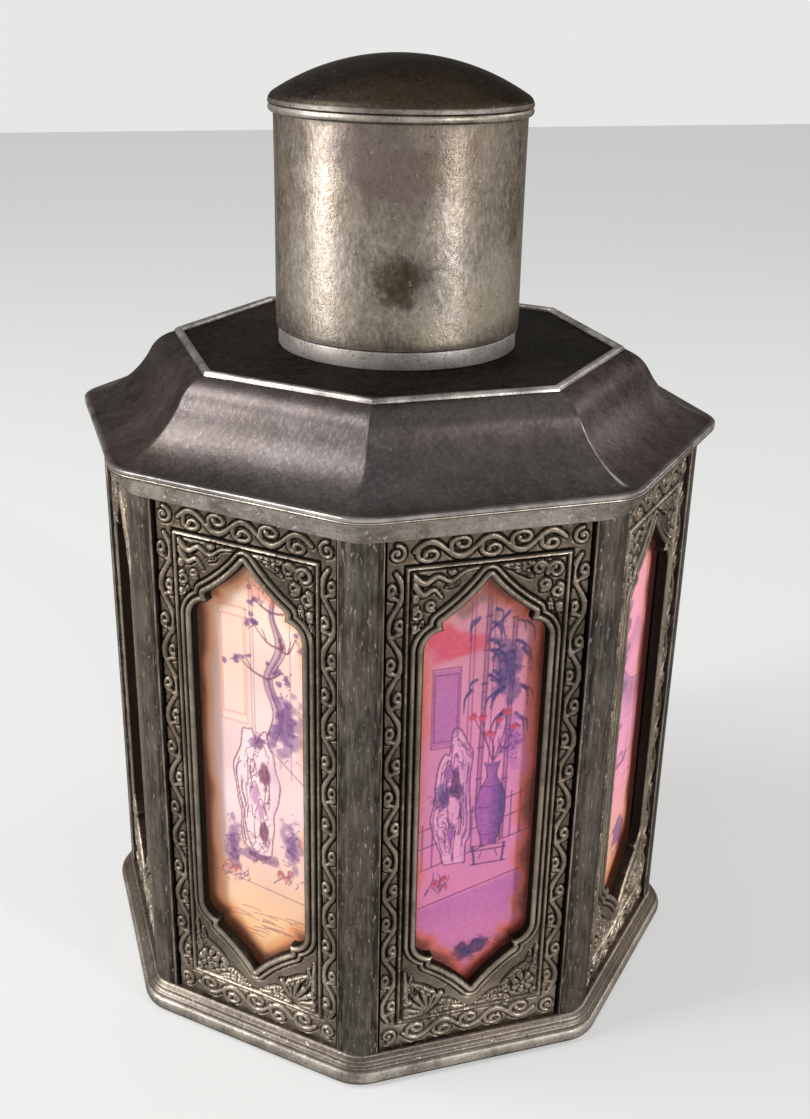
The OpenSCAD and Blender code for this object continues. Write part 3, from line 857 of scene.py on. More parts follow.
sweep("stopper_knob", [(a, z, 0.3) for a, z, _ in knob_rows], round_, "stopper", PEWTER["inner"],
      ["plug_knob"])
print("knob is", round(knob_h / MM, 1), "mm high")

# %% [markdown]
# The cap is a sheet cylinder with a bead at its top and a low dome. The dome is
# part of a large sphere that runs into a small rounded edge. The two are tangent
# where they meet, and the angle of that place follows from their radii.

# %% The cap
low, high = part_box("cap_skirt")
cap_r, cap_low, cap_high = high[0], low[2], high[2]
CAP_SHEET = 1.0 * MM
cap_in = cap_r - CAP_SHEET
CAP_LEVELS = 48
CAP_WAIST = 0.10 * MM
wall_low = cap_low + 0.5 * MM
shares = [k / CAP_LEVELS for k in range(CAP_LEVELS + 1)]
outside = [
    (cap_r - CAP_WAIST * math.sin(math.pi * share), wall_low + (cap_high - wall_low) * share, 0.0)
    for share in shares
]
inside = [(cap_in, cap_high, 0.0), (cap_in, cap_low + 0.3 * MM, 0.0), (cap_in + 0.2 * MM, cap_low, 0.2)]
bottom = [(cap_r - 0.3 * MM, cap_low, 0.4), (cap_r - 0.05 * MM, cap_low + 0.15 * MM, 0.5)]


def cap_shade_and_edge_line(points):
    """Painted shade below the bead and a dark, uneven line round the cap's edge."""
    below_bead = np.exp(-(cap_high - 1.7 * MM - points[:, 2]).clip(0) / (0.9 * MM))
    at_edge = np.exp(-(points[:, 2] - cap_low).clip(0) / (1.1 * MM)) * (0.55 + 0.45 * ripple(points, 0.006))
    return np.clip(0.42 * below_bead + 0.75 * at_edge, 0, 0.9)


sweep("cap_wall", bottom + outside + inside, round_, "cap", PEWTER["cap"], ["cap_skirt"],
      uneven=0.10 * MM, inward=True, dirt_and_shade=cap_shade_and_edge_line)

low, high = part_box("cap_bead")
bead_r = high[0] - cap_r
bead_mid = (low[2] + high[2]) / 2
BEAD_SLOT = 0.05 * MM
cap_bead = [
    (cap_r - BEAD_SLOT + (bead_r + BEAD_SLOT) * math.cos(t), bead_mid + bead_r * math.sin(t), 0.5)
    for t in np.linspace(-math.pi / 2, math.pi / 2, 9)
]
sweep("cap_moulding", cap_bead, round_, "cap", PEWTER["worn"], ["cap_bead"], sharp=60)

low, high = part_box("cap_dome")
dome_r, dome_z, apex_z = high[0], low[2], high[2]
DOME_EDGE = 2.0 * MM
rise = apex_z - dome_z
sphere = ((dome_r - DOME_EDGE) ** 2 + rise ** 2 - DOME_EDGE ** 2) / (2 * (rise - DOME_EDGE))
sphere_z = apex_z - sphere
blend_angle = math.asin((dome_r - DOME_EDGE) / (sphere - DOME_EDGE))
over = [
    (sphere * math.sin(t), sphere_z + sphere * math.cos(t), 0.0)
    for t in np.linspace(0.004, blend_angle, 26)
]
rim = [
    (dome_r - DOME_EDGE + DOME_EDGE * math.sin(t), dome_z + DOME_EDGE * math.cos(t), 0.30 if t > 1.2 else 0.0)
    for t in np.linspace(blend_angle, math.pi / 2, 8)[1:]
]
dome_under = [
    ((sphere - CAP_SHEET) * math.sin(t), sphere_z + (sphere - CAP_SHEET) * math.cos(t), 0.0)
    for t in np.linspace(math.asin(cap_in / (sphere - CAP_SHEET)), 0.004, 16)
]
sweep("cap_dome_sheet", over + rim + [(cap_in, dome_z, 0.0)] + dome_under, round_, "cap",
      PEWTER["dome"], ["cap_dome"], sharp=50)
print("cap stands", round((apex_z - cap_low) / MM, 1), "mm high")

# %% [markdown]
# ## The cast frames
# Each side has a cast pewter plate round a window that is pointed at both
# ends. The relief is low and crowded: a double moulding round the window, a
# thin fillet, a scrolling vine in the border, and curls, leaves and flowers in
# the corners. A height map suits it, as nothing is undercut. Lengths in
# the next cells are in millimetres, across (u) and up (v) from the middle of
# the plate.

# %% The window's outline
plate_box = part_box("panel_1")
PLATE_BACK = -plate_box[1][1] / MM
PLATE_THICK = 1.6
PLATE_FACE = PLATE_BACK + PLATE_THICK
PLATE_HALF = plate_box[1][0] / MM
PLATE_FOOT = plate_box[0][2] / MM
PLATE_TALL = plate_box[1][2] / MM - PLATE_FOOT
WINDOW_HALF = 11.0
WINDOW_FOOT, WINDOW_HEAD = 10.4, 8.0
WINDOW_RISE = (WINDOW_FOOT - WINDOW_HEAD) / 2
POINT_V = (PLATE_TALL - WINDOW_FOOT - WINDOW_HEAD) / 2
POINT_TALL = 7.2
CUSP_U, CUSP_V = WINDOW_HALF - 3.0, POINT_V - POINT_TALL
CUSP_STEP = 1.5
BEND_R, FLANK_R = 3.4, 34.0
BEND_U, BEND_V = WINDOW_HALF - BEND_R, CUSP_V - CUSP_STEP - BEND_R


def window_quarter():
    """The window's outline from the middle of its right edge up to its point."""
    bend = [
        (BEND_U + BEND_R * math.cos(t), BEND_V + BEND_R * math.sin(t))
        for t in np.linspace(0, math.radians(88), 12)
    ]
    chord = math.hypot(CUSP_U, POINT_TALL)
    reach = math.sqrt(FLANK_R ** 2 - chord ** 2 / 4)
    mid = (CUSP_U / 2 + reach * POINT_TALL / chord, (CUSP_V + POINT_V) / 2 + reach * CUSP_U / chord)
    first = math.atan2(CUSP_V - mid[1], CUSP_U - mid[0])
    last = math.atan2(POINT_V - mid[1], -mid[0])
    flank = [
        (mid[0] + FLANK_R * math.cos(t), mid[1] + FLANK_R * math.sin(t)) for t in np.linspace(first, last, 16)
    ]
    return np.array([(WINDOW_HALF, 0.0)] + bend + flank)


def path_distance(u, v, path, width=None):
    """Distance from points to a path, in millimetres or as a share of the path's width."""
    near = np.full(u.shape, 1e9)
    for k in range(len(path) - 1):
        (au, av), (bu, bv) = path[k], path[k + 1]
        span = (bu - au) ** 2 + (bv - av) ** 2
        t = np.clip(((u - au) * (bu - au) + (v - av) * (bv - av)) / max(span, 1e-9), 0, 1)
        d = np.hypot(u - au - t * (bu - au), v - av - t * (bv - av))
        if width is not None:
            d = d / (width[k] + t * (width[k + 1] - width[k]))
        near = np.minimum(near, d)
    return near


def window_distance(u, v):
    """Distance to the window's edge, negative inside the window."""
    u, v = np.abs(u), np.abs(v - WINDOW_RISE)
    quarter = window_quarter()
    ring = np.vstack(([(0.0, 0.0)], quarter))
    inside = np.zeros(u.shape, bool)
    for k in range(len(ring)):
        (au, av), (bu, bv) = ring[k], ring[(k + 1) % len(ring)]
        if av == bv:
            continue
        crosses = ((av > v) != (bv > v)) & (u < au + (v - av) * (bu - au) / (bv - av))
        inside ^= crosses
    inside |= (u < WINDOW_HALF) & (v < BEND_V) & (v <= 1e-9)
    return np.where(inside, -1, 1) * path_distance(u, v, quarter)


GRID = 0.19
across = np.linspace(-PLATE_HALF, PLATE_HALF, round(2 * PLATE_HALF / GRID) + 1)
upward = np.linspace(-PLATE_TALL / 2, PLATE_TALL / 2, round(PLATE_TALL / GRID) + 1)
plate_u, plate_v = np.meshgrid(across, upward)
to_window = window_distance(plate_u, plate_v)
print("plate grid:", plate_u.shape, "window share:", round(float((to_window < 0).mean()), 3))

# %% [markdown]
# ### Carving tools
# A stroke is a path with a half width that may change along it. Raising a
# stroke gives a ridge with a flat top and steep sides. Before it is raised,
# the ground beside it is cut away, which is what sets such ornament off in
# dark outlines once dirt has settled there.

# %% Strokes and curls
def smooth_path(points, steps=7):
    """A smooth curve through a few points."""
    p = np.array(points, float)
    p = np.vstack((2 * p[0] - p[1], p, 2 * p[-1] - p[-2]))
    out = []
    for k in range(1, len(p) - 2):
        for t in np.linspace(0, 1, steps, endpoint=False):
            square = 2 * p[k - 1] - 5 * p[k] + 4 * p[k + 1] - p[k + 2]
            cube = 3 * p[k] - 3 * p[k + 1] + p[k + 2] - p[k - 1]
            out.append(0.5 * (2 * p[k] + (p[k + 1] - p[k - 1]) * t + square * t ** 2 + cube * t ** 3))
    out.append(p[-2])
    return np.array(out)


def curl(centre, start, turns, outer, inner, stretch=(1.0, 1.0), steps=26):
    """A spiral that winds inwards. A negative number of turns winds clockwise."""
    t = np.linspace(0, 1, steps)
    angle = math.radians(start) + 2 * math.pi * turns * t
    r = outer + (inner - outer) * t
    return np.array(centre) + np.stack((r * np.cos(angle) * stretch[0], r * np.sin(angle) * stretch[1]), 1)


def stroke(path, width, tip=None, top=0.3):
    """One stroke: its path, its half width at each point and its height."""
    path = np.array(path, float)
    t = np.linspace(0, 1, len(path))
    if tip is None:
        tip = width
    return path, width + (tip - width) * t, top


def leaf(start, bend, end, width, top=0.3):
    """A pointed leaf with a curved spine."""
    path = smooth_path([start, bend, end])
    t = np.linspace(0, 1, len(path))
    return path, np.maximum(width * np.sin(math.pi * (0.12 + 0.88 * t)) ** 0.8, 0.08), top


def gouge(path, width, tip=None):
    """A cut made with the corner of a chisel, deeper than the ground."""
    return stroke(path, width, tip, -0.58)


print("points in a curl:", len(curl((0, 0), 0, 1.0, 1.0, 0.3)))

# %% [markdown]
# ### Flowers, fans and leaves
# Larger ornaments are groups of strokes. A flower is a ring of short, fat ones
# round a ball, and a fan is a row of narrow ones. A broad leaf is one stroke,
# and its rib and side veins are cut into it afterwards.

# %% Flowers, fans and leaves
def blossom(centre, size, petals, turned=0.0):
    """A round flower: fat petals round a small ball."""
    out = []
    for k in range(petals):
        angle = turned + 2 * math.pi * k / petals
        way = heading(angle)
        middle = np.array(centre)
        petal = [middle + way * size * 0.52, middle + way * size * 0.72]
        out.append(stroke(petal, size * 0.30, size * 0.34, 0.34))
    out.append(stroke([centre, (centre[0] + 0.01, centre[1])], size * 0.24, None, 0.45))
    return out


def shell(centre, size, toward, flutes=6, spread=118):
    """A fluted fan that opens in one direction."""
    out = []
    back = math.radians(toward)
    foot = np.array(centre) - 0.15 * size * heading(back)
    for k in range(flutes):
        angle = back + math.radians(spread) * (k / (flutes - 1) - 0.5)
        way = heading(angle)
        out.append(stroke([foot + way * size * 0.25, foot + way * size], size * 0.06, size * 0.15, 0.38))
    return out


def veined(start, bend, end, width, top=0.34):
    """A broad leaf with its rib and side veins cut in."""
    blade = leaf(start, bend, end, width * 1.25, top)
    spine = blade[0]
    out = [blade]
    rib = spine[1:-3]
    out.append((rib, np.full(len(rib), 0.13), -0.10))
    for k in range(3, len(spine) - 4, 3):
        way = spine[k + 1] - spine[k - 1]
        way = way / max(np.hypot(*way), 1e-6)
        side = np.array((-way[1], way[0]))
        reach = blade[1][k] * 0.85
        for hand in (-1, 1):
            tip = spine[k] + (way * 0.8 + side * hand) * reach
            out.append(stroke([spine[k] + side * hand * 0.12, tip], 0.14, 0.10, -0.08))
    return out


print("strokes in a flower of 5 petals:", len(blossom((0, 0), 2.0, 5)))

# %% [markdown]
# ### Carving
# Strokes overlap, so they aren't simply added up. A first pass lowers the ground
# round all of them, a second raises every ridge to the higher of the two heights
# where ridges cross, and a third makes the cuts. The order of the strokes then
# doesn't matter. Each one touches only the part of the grid near it, to save time.

# %% Carving the strokes
def patch(path, reach):
    """The part of the plate's grid that lies near a path."""
    lo, hi = path.min(0) - reach, path.max(0) + reach
    cols = slice(*np.searchsorted(across, (lo[0], hi[0])))
    rows = slice(*np.searchsorted(upward, (lo[1], hi[1])))
    return rows, cols


def carve(height, strokes, cut=0.48, skirt=1.60):
    """Cuts the ground away beside raised strokes, raises them, then makes the lowered cuts."""
    raised = [item for item in strokes if item[2] > 0]
    lowered = [item for item in strokes if item[2] <= 0]
    for path, width, _ in raised:
        area = patch(path, 2.1 * width.max())
        share = path_distance(plate_u[area], plate_v[area], path, width)
        ground = -cut * np.clip((skirt - share) / (skirt - 1.0), 0, 1)
        height[area] = np.where(share < skirt, np.minimum(height[area], ground - 0.04), height[area])
    for path, width, top in raised:
        area = patch(path, 2 * width.max())
        share = path_distance(plate_u[area], plate_v[area], path, width)
        ridge = -cut + (top + cut) * np.clip(1 - share ** 4, 0, 1) ** 0.4
        height[area] = np.where(share < 1, np.maximum(height[area], ridge), height[area])
    for path, width, top in lowered:
        area = patch(path, 2 * width.max())
        share = path_distance(plate_u[area], plate_v[area], path, width)
        groove = top + 0.5 * share ** 2
        height[area] = np.where(share < 1, np.minimum(height[area], groove), height[area])


trial = np.zeros(plate_u.shape)
carve(trial, blossom((0, 0), 2.0, 5))
print("a flower is carved from", round(float(trial.min()), 2), "to", round(float(trial.max()), 2), "mm")

# %% [markdown]
# ### The vine
# The border vine is one wavy stem. In every hollow of the wave a side shoot
# curls in and ends in a small ball. The same function draws the upright runs
# and, turned on its side and stretched, the runs above and below the window.

# %% The border vine
def vine(length, halves, swing, upright, place, hand=1, curl_size=0.92, seed=1):
    """Strokes of one straight run of vine, centred on a place."""
    chance = np.random.default_rng(seed)
    half = length / halves
    s = np.linspace(0, length, halves * 10 + 1)
    stem = np.stack((hand * swing * np.sin(math.pi * s / half), s - length / 2), 1)
    strokes = [(stem, 0.44 + 0.16 * np.abs(np.sin(math.pi * s / half)), 0.24)]
    for k in range(halves):
        side = hand * (1 if k % 2 == 0 else -1)
        size = curl_size * chance.uniform(0.92, 1.08)
        middle = (k + 0.50 + chance.uniform(-0.05, 0.05)) * half - length / 2
        centre = (-side * swing * 0.48, middle)
        shoot = curl(centre, 90 - side * 165, -side * 1.05, size, size * 0.36, (1.0, 1.55))
        strokes.append(stroke(shoot, 0.46, 0.36, 0.24))
        strokes.append(stroke([shoot[-1], shoot[-1] + 0.01], 0.52, None, 0.32))
        foot = np.array((side * swing * 0.60, middle - 0.34 * half))
        strokes.append(stroke([foot, (foot + shoot[0]) / 2 + (0, 0.1), shoot[0]], 0.38, 0.40, 0.22))
    turned = []
    for path, width, top in strokes:
        path = np.array(path, float)
        if not upright:
            path = path[:, ::-1]
        turned.append((path + np.array(place), width, top))
    return turned


FILLET_U, FILLET_V = 13.95, PLATE_TALL / 2 - 5.25
BORDER_U = (FILLET_U + 0.45 + PLATE_HALF) / 2 + 0.05
BORDER_V = (FILLET_V + 0.45 + PLATE_TALL / 2) / 2 + 0.05


def border(seed):
    """The vine all round the plate, with a curl in each corner."""
    strokes = []
    for side in (-1, 1):
        strokes += vine(2 * FILLET_V - 1, 14, 1.26, True, (side * BORDER_U, 0), side, 0.92, seed + side)
        strokes += vine(2 * FILLET_U - 2, 5, 1.45, False, (0, side * BORDER_V), side, 1.20, seed + 3 * side)
        for end in (-1, 1):
            place = (side * (BORDER_U - 0.1), end * (BORDER_V - 0.1))
            shoot = curl(place, 90 if end > 0 else -90, side * end * 1.3, 1.50, 0.35)
            strokes.append(stroke(shoot, 0.44, 0.28, 0.30))
            strokes.append(stroke([place, (place[0] + 0.01, place[1])], 0.45, None, 0.38))
    return strokes


print("strokes in a border:", len(border(5)))

# %% [markdown]
# ### Corners of the field
# The corners above the window hold fat curls and leaves on one side, and two
# wavy ribbons among small curls on the other. The lower corners hold a fluted
# fan or a rosette with leaves. Two plates alternate round the caddy, and no two
# corners of a plate match, as on most work of this kind.

# %% Spandrels
def mirrored(strokes, side):
    """Strokes drawn for the right-hand side, moved to a side."""
    return [(np.array(path, float) * (side, 1), width, top) for path, width, top in strokes]


def rosette(centre, size, petals, turned=0.0):
    """A blossom with a cut between every two petals and a ring round its heart."""
    strokes = blossom(centre, size, petals, turned)
    middle = np.array(centre)
    for k in range(petals):
        angle = turned + 2 * math.pi * (k + 0.5) / petals
        way = heading(angle)
        strokes.append(gouge([middle + way * size * 0.45, middle + way * size * 0.95], 0.12, 0.20))
    return strokes


def scroll(centre, start, turns, outer, thick=0.46):
    """A fat curl with a ball at its heart."""
    path = curl(centre, start, turns, outer, outer * 0.36)
    return [stroke(path, thick, thick * 0.7, 0.30), stroke([path[-1], path[-1] + 0.01], thick, None, 0.38)]


def leafage(rows):
    """Veined leaves, each given by its base, its bend, its tip and its half width."""
    return [part for row in rows for part in veined(*row)]


def upper_corner(side, kind):
    """Ornament in an upper corner of the field. side is -1 or 1."""
    strokes = []
    if kind == 1:
        curls = (
            (11.5, 42.6, 200, -1.25, 1.55), (8.6, 43.2, 20, 1.15, 1.15), (12.0, 38.8, 80, -1.2, 1.25),
            (9.6, 40.2, 250, 1.2, 1.10), (12.6, 35.6, 130, -1.1, 0.80),
        )
        leaves = (
            ((7.4, 44.3), (5.0, 44.0), (1.6, 44.5), 0.62), ((7.4, 41.8), (6.0, 42.9), (4.0, 43.2), 0.55),
            ((12.6, 34.4), (13.1, 32.8), (12.8, 30.2), 0.55),
            ((10.8, 37.4), (10.9, 36.0), (11.7, 33.4), 0.48),
        )
        thick, cuts = 0.46, ()
    else:
        wavy = [(13.2, 44.2), (11.2, 42.6), (9.0, 43.6), (6.8, 42.6), (4.4, 44.0), (2.2, 44.4)]
        strokes.append(stroke(smooth_path(wavy), 0.62, 0.26, 0.30))
        lower = [(12.9, 42.6), (11.4, 40.6), (9.6, 41.4), (8.2, 39.9)]
        strokes.append(stroke(smooth_path(lower), 0.66, 0.30, 0.30))
        curls = (
            (12.3, 37.4, 90, -1.2, 1.15), (10.0, 38.6, 240, 1.15, 0.90), (6.6, 44.4, 200, 1.0, 0.55),
            (12.8, 40.0, 60, 1.0, 0.60), (12.8, 34.6, 110, -1.0, 0.62),
        )
        leaves = (
            ((11.4, 36.0), (11.9, 34.0), (12.1, 32.0), 0.50), ((7.6, 41.6), (6.2, 42.0), (5.0, 42.6), 0.42),
        )
        thick, cuts = 0.40, (((11.6, 43.9), (10.4, 43.7)), ((9.6, 42.6), (10.8, 41.9)))
    for u, v, start, turns, outer in curls:
        strokes += scroll((u, v), start, turns, outer, thick)
    strokes += leafage(leaves) + [gouge(cut, 0.28, 0.14) for cut in cuts]
    return mirrored(strokes, side)


def lower_corner(side, kind):
    """Ornament in a lower corner of the field."""
    if kind == 1:
        strokes = shell((8.6, -43.6), 4.4, 58, 7, 128)
        strokes.append(stroke(curl((12.6, -44.0), 120, -1.2, 0.95, 0.3), 0.36, 0.24))
        leaves = (
            ((12.6, -41.6), (13.1, -38.6), (12.8, -33.4), 0.80),
            ((11.4, -39.6), (11.8, -37.6), (11.6, -35.0), 0.52),
        )
        last = [gouge([(11.9, -42.2), (11.4, -41.4)], 0.28, 0.12)]
    else:
        strokes = rosette((10.4, -41.7), 2.3, 7, 0.1)
        strokes += scroll((12.3, -38.6), 250, 1.1, 0.85, 0.38)
        leaves = (
            ((12.5, -39.4), (13.1, -36.8), (12.7, -32.8), 0.76),
            ((10.8, -38.6), (11.4, -37.0), (11.6, -34.4), 0.48),
        )
        last = [
            stroke(curl((12.8, -44.2), 60, 1.1, 0.7, 0.3), 0.32, 0.22),
            stroke(curl((7.2, -42.4), 100, 1.2, 0.85, 0.3), 0.34, 0.24),
        ]
    strokes += leafage(leaves) + last + leafage((
        ((7.6, -44.4), (5.2, -44.0), (1.0, -44.4), 0.66),
        ((11.0, -37.4), (8.4, -39.6), (6.0, -41.3), 0.70),
        ((6.2, -42.4), (4.6, -42.7), (2.2, -43.4), 0.50),
    ))
    return mirrored(strokes, side)


print("strokes in a corner:", len(upper_corner(1, 0)), len(upper_corner(1, 1)))

# %% [markdown]
# ### The plate's height map
# Lines that run parallel to the window or to the plate's edge are functions of
# the distance to them. What is higher than its surroundings is polished by
# wear, and what is lower holds dirt and painted shade, so the two painted values
# come straight from the difference between the map and a blurred copy of it.

# %% The height map
FILLET_REACH, MOULDING_WIDE = 0.75, 2.5
RELIEF_LOW, RELIEF_HIGH = -0.62, 0.59


def ridge_at(distance, middle, half, top):
    """A rounded ridge along a line of equal distance."""
    return top * np.sqrt(np.clip(1 - ((distance - middle) / half) ** 2, 0, 1))


def blur(values, cells):
    """A running mean over a square of cells."""
    for axis in (0, 1):
        pad = [(0, 0), (0, 0)]
        pad[axis] = (cells, cells)
        total = np.cumsum(np.pad(values, pad, mode="edge"), axis=axis)
        total = np.insert(total, 0, 0, axis=axis)
        width = 2 * cells + 1
        size = values.shape[axis]
        ahead = np.take(total, range(width, width + size), axis)
        values = (ahead - np.take(total, range(size), axis)) / width
    return values


def plate_relief(kinds, seed):
    """Heights over the plate's face, in millimetres. kinds picks the corner ornaments."""
    points = np.stack((plate_u.ravel(), plate_v.ravel(), np.zeros(plate_u.size)), 1)
    chance = np.random.default_rng(seed)
    cast_grain = blur(chance.normal(0, 1, plate_u.shape), 1)
    height = -0.03 + 0.06 * ripple(points + 10 * seed, 3.0).reshape(plate_u.shape)
    height += 0.05 * ripple(points - 7 * seed, 0.9).reshape(plate_u.shape)
    strokes = border(seed)
    for side, upper, lower in ((-1, kinds[0], kinds[1]), (1, kinds[2], kinds[3])):
        strokes += upper_corner(side, upper) + lower_corner(side, lower)
    carve(height, strokes)
    to_fillet = np.maximum(np.abs(plate_u) - FILLET_U, np.abs(plate_v) - FILLET_V)
    near_fillet = np.abs(to_fillet) < FILLET_REACH
    frame_lines = (
        -0.18 + ridge_at(to_fillet, 0.0, 0.26, 0.46) - ridge_at(to_fillet, 0.50, 0.24, 0.42)
        - ridge_at(to_fillet, -0.46, 0.20, 0.20)
    )
    height = np.where(near_fillet, frame_lines, height)
    mould = to_window < MOULDING_WIDE
    rolls = (
        -0.15 + ridge_at(to_window, 0.62, 0.58, 0.72) + ridge_at(to_window, 1.78, 0.42, 0.55)
        - ridge_at(to_window, 1.28, 0.14, 0.15) - ridge_at(to_window, 2.34, 0.16, 0.25)
    )
    height = np.where(mould, rolls, height) + 0.055 * cast_grain
    return np.clip(height, RELIEF_LOW, RELIEF_HIGH)


def grid_quads(shape):
    """Quads between the points of a grid, and the numbers of the points round its edge."""
    index = np.arange(shape[0] * shape[1]).reshape(shape)
    quads = np.stack((index[:-1, :-1], index[:-1, 1:], index[1:, 1:], index[1:, :-1]), -1).reshape(-1, 4)
    edge = np.concatenate((index[0, :], index[1:, -1], index[-1, -2::-1], index[-2:0:-1, 0]))
    return quads, edge


def slope_to_window(u, v, step=0.02):
    """The direction in which the distance to the window grows."""
    return (
        (window_distance(u + step, v) - window_distance(u - step, v)) / (2 * step),
        (window_distance(u, v + step) - window_distance(u, v - step)) / (2 * step),
    )


reliefs = [plate_relief((0, 0, 1, 1), 5), plate_relief((0, 1, 1, 0), 6)]
print("relief from", round(float(reliefs[0].min()), 2), "to", round(float(reliefs[0].max()), 2), "mm")

# %% [markdown]
# ### The plate as a mesh
# The grid's cells inside the window are left out. The points just inside its
# edge are moved onto the outline, so that the opening is smooth and not
# stepped. Every open edge is then drawn straight back to the plate's rear.

# %% The grid without the window
outside = to_window.ravel() > 0.0
quads = grid_quads(plate_u.shape)[0]
quads = quads[outside[quads].any(1)]
used = np.unique(quads)
rim = used[~outside[used]]
mesh_u, mesh_v = plate_u.ravel().copy(), plate_v.ravel().copy()
rim_slope = slope_to_window(mesh_u[rim], mesh_v[rim])
mesh_u[rim] -= to_window.ravel()[rim] * rim_slope[0]
mesh_v[rim] -= to_window.ravel()[rim] * rim_slope[1]
ways = np.stack((quads, np.roll(quads, -1, 1)), -1).reshape(-1, 2)
_, first_use, uses = np.unique(np.sort(ways, 1), axis=0, return_index=True, return_counts=True)
open_edges = ways[first_use[uses == 1]]
loop = np.unique(open_edges)
compact = np.full(plate_u.size, -1)
compact[used] = np.arange(len(used))
behind = np.full(plate_u.size, -1)
behind[loop] = len(used) + np.arange(len(loop))
edge_quads = np.stack((
    compact[open_edges[:, 1]], compact[open_edges[:, 0]], behind[open_edges[:, 0]], behind[open_edges[:, 1]]
), 1)
plate_quads = np.vstack((compact[quads], edge_quads)).tolist()
print("faces of a plate:", len(plate_quads))

# %% [markdown]
# The mesh is the same for all eight plates, and only the heights differ. Near
# the foot the casting is rubbed by the table and by hands, so it is brighter
# and cleaner there.

# %% The eight frames
WEAR_GAIN, DIRT_AND_SHADE_GAIN = 1.7, 6.0
RIM_LEVEL = 0.10


def build_plate(number, height):
    """One cast frame, as a mesh in the frame's metres."""
    wide = blur(blur(height, 3), 3)
    wear = np.clip((height - wide) * WEAR_GAIN - 0.05, 0, 1).ravel()
    # Hollows and the deepest ground get dirt together with painted shade.
    dirt_and_shade = np.clip((wide - height) * DIRT_AND_SHADE_GAIN - 0.22, 0, 0.97).ravel()
    dirt_and_shade = np.maximum(dirt_and_shade, np.clip(-height.ravel() * 3.0 - 0.85, 0, 0.95))
    low_down = np.clip((-plate_v.ravel() - 30) / 16, 0, 1)
    wear = np.clip(wear + 0.35 * low_down, 0, 1)
    dirt_and_shade = dirt_and_shade * (1 - 0.25 * low_down)
    level = height.ravel().copy()
    level[rim] = RIM_LEVEL
    up = mesh_v + PLATE_TALL / 2 + PLATE_FOOT
    front = np.stack((PLATE_FACE + level[used], mesh_u[used], up[used]), 1)
    back = np.stack((np.full(len(loop), PLATE_BACK), mesh_u[loop], up[loop]), 1)
    verts = turn_to_side(np.vstack((front, back)) * MM, number)
    wear = np.concatenate((wear[used], np.zeros(len(loop))))
    # The edges drawn back to the rear, in the window's reveal and round the plate, get painted shade.
    dirt_and_shade = np.concatenate((dirt_and_shade[used], np.full(len(loop), 0.85)))
    return make_piece(f"ornament_plate_{number}", verts, plate_quads, "caddy", PEWTER["cast"],
                      [f"panel_{number}"], wear, dirt_and_shade, sharp=70)


for number in range(1, SIDES + 1):
    build_plate(number, reliefs[number % 2])
print("ornament plates:", SIDES)

# %% [markdown]
# ## Pictures behind the glass
# Each window shows a garden, a terrace or a lake, painted in thin washes on
# paper that age has turned pink and orange. The paintings are worked out here
# stroke by stroke, as a painter would: first a wash over the sheet, then the
# far things, then trees, stones and vases in darker ink. The colours go into a
# colour attribute of a fine mesh, so no image is needed.

# %% The painter's sheet
picture_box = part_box("picture_1")
SHEET_HALF = picture_box[1][0] / MM
SHEET_FOOT = picture_box[0][2] / MM
SHEET_TALL = picture_box[1][2] / MM - SHEET_FOOT
SHEET_FACE = -picture_box[0][1] / MM
SHEET_BACK = -picture_box[1][1] / MM
SHEET_STEP = 0.18
sheet_across = np.linspace(-SHEET_HALF, SHEET_HALF, round(2 * SHEET_HALF / SHEET_STEP) + 1)
sheet_upward = np.linspace(0, SHEET_TALL, round(SHEET_TALL / SHEET_STEP) + 1)
sheet_u, sheet_v = np.meshgrid(sheet_across, sheet_upward)


def cloud(cell, seed):
    """Soft random values from 0 to 1 over the sheet. cell is the size of a patch."""
    chance = np.random.default_rng(seed)
    rows, cols = int(SHEET_TALL / cell) + 3, int(2 * SHEET_HALF / cell) + 3
    coarse = chance.random((rows, cols))
    y, x = sheet_v / cell, (sheet_u + SHEET_HALF) / cell
    i, j = y.astype(int), x.astype(int)
    fy, fx = y - i, x - j
    fy, fx = fy * fy * (3 - 2 * fy), fx * fx * (3 - 2 * fx)
    low = coarse[i, j] * (1 - fx) + coarse[i, j + 1] * fx
    high = coarse[i + 1, j] * (1 - fx) + coarse[i + 1, j + 1] * fx
    return low * (1 - fy) + high * fy


def soft_step(value, low, high):
    """0 below low, 1 above high and a smooth curve between."""
    t = np.clip((value - low) / (high - low), 0, 1)
    return t * t * (3 - 2 * t)


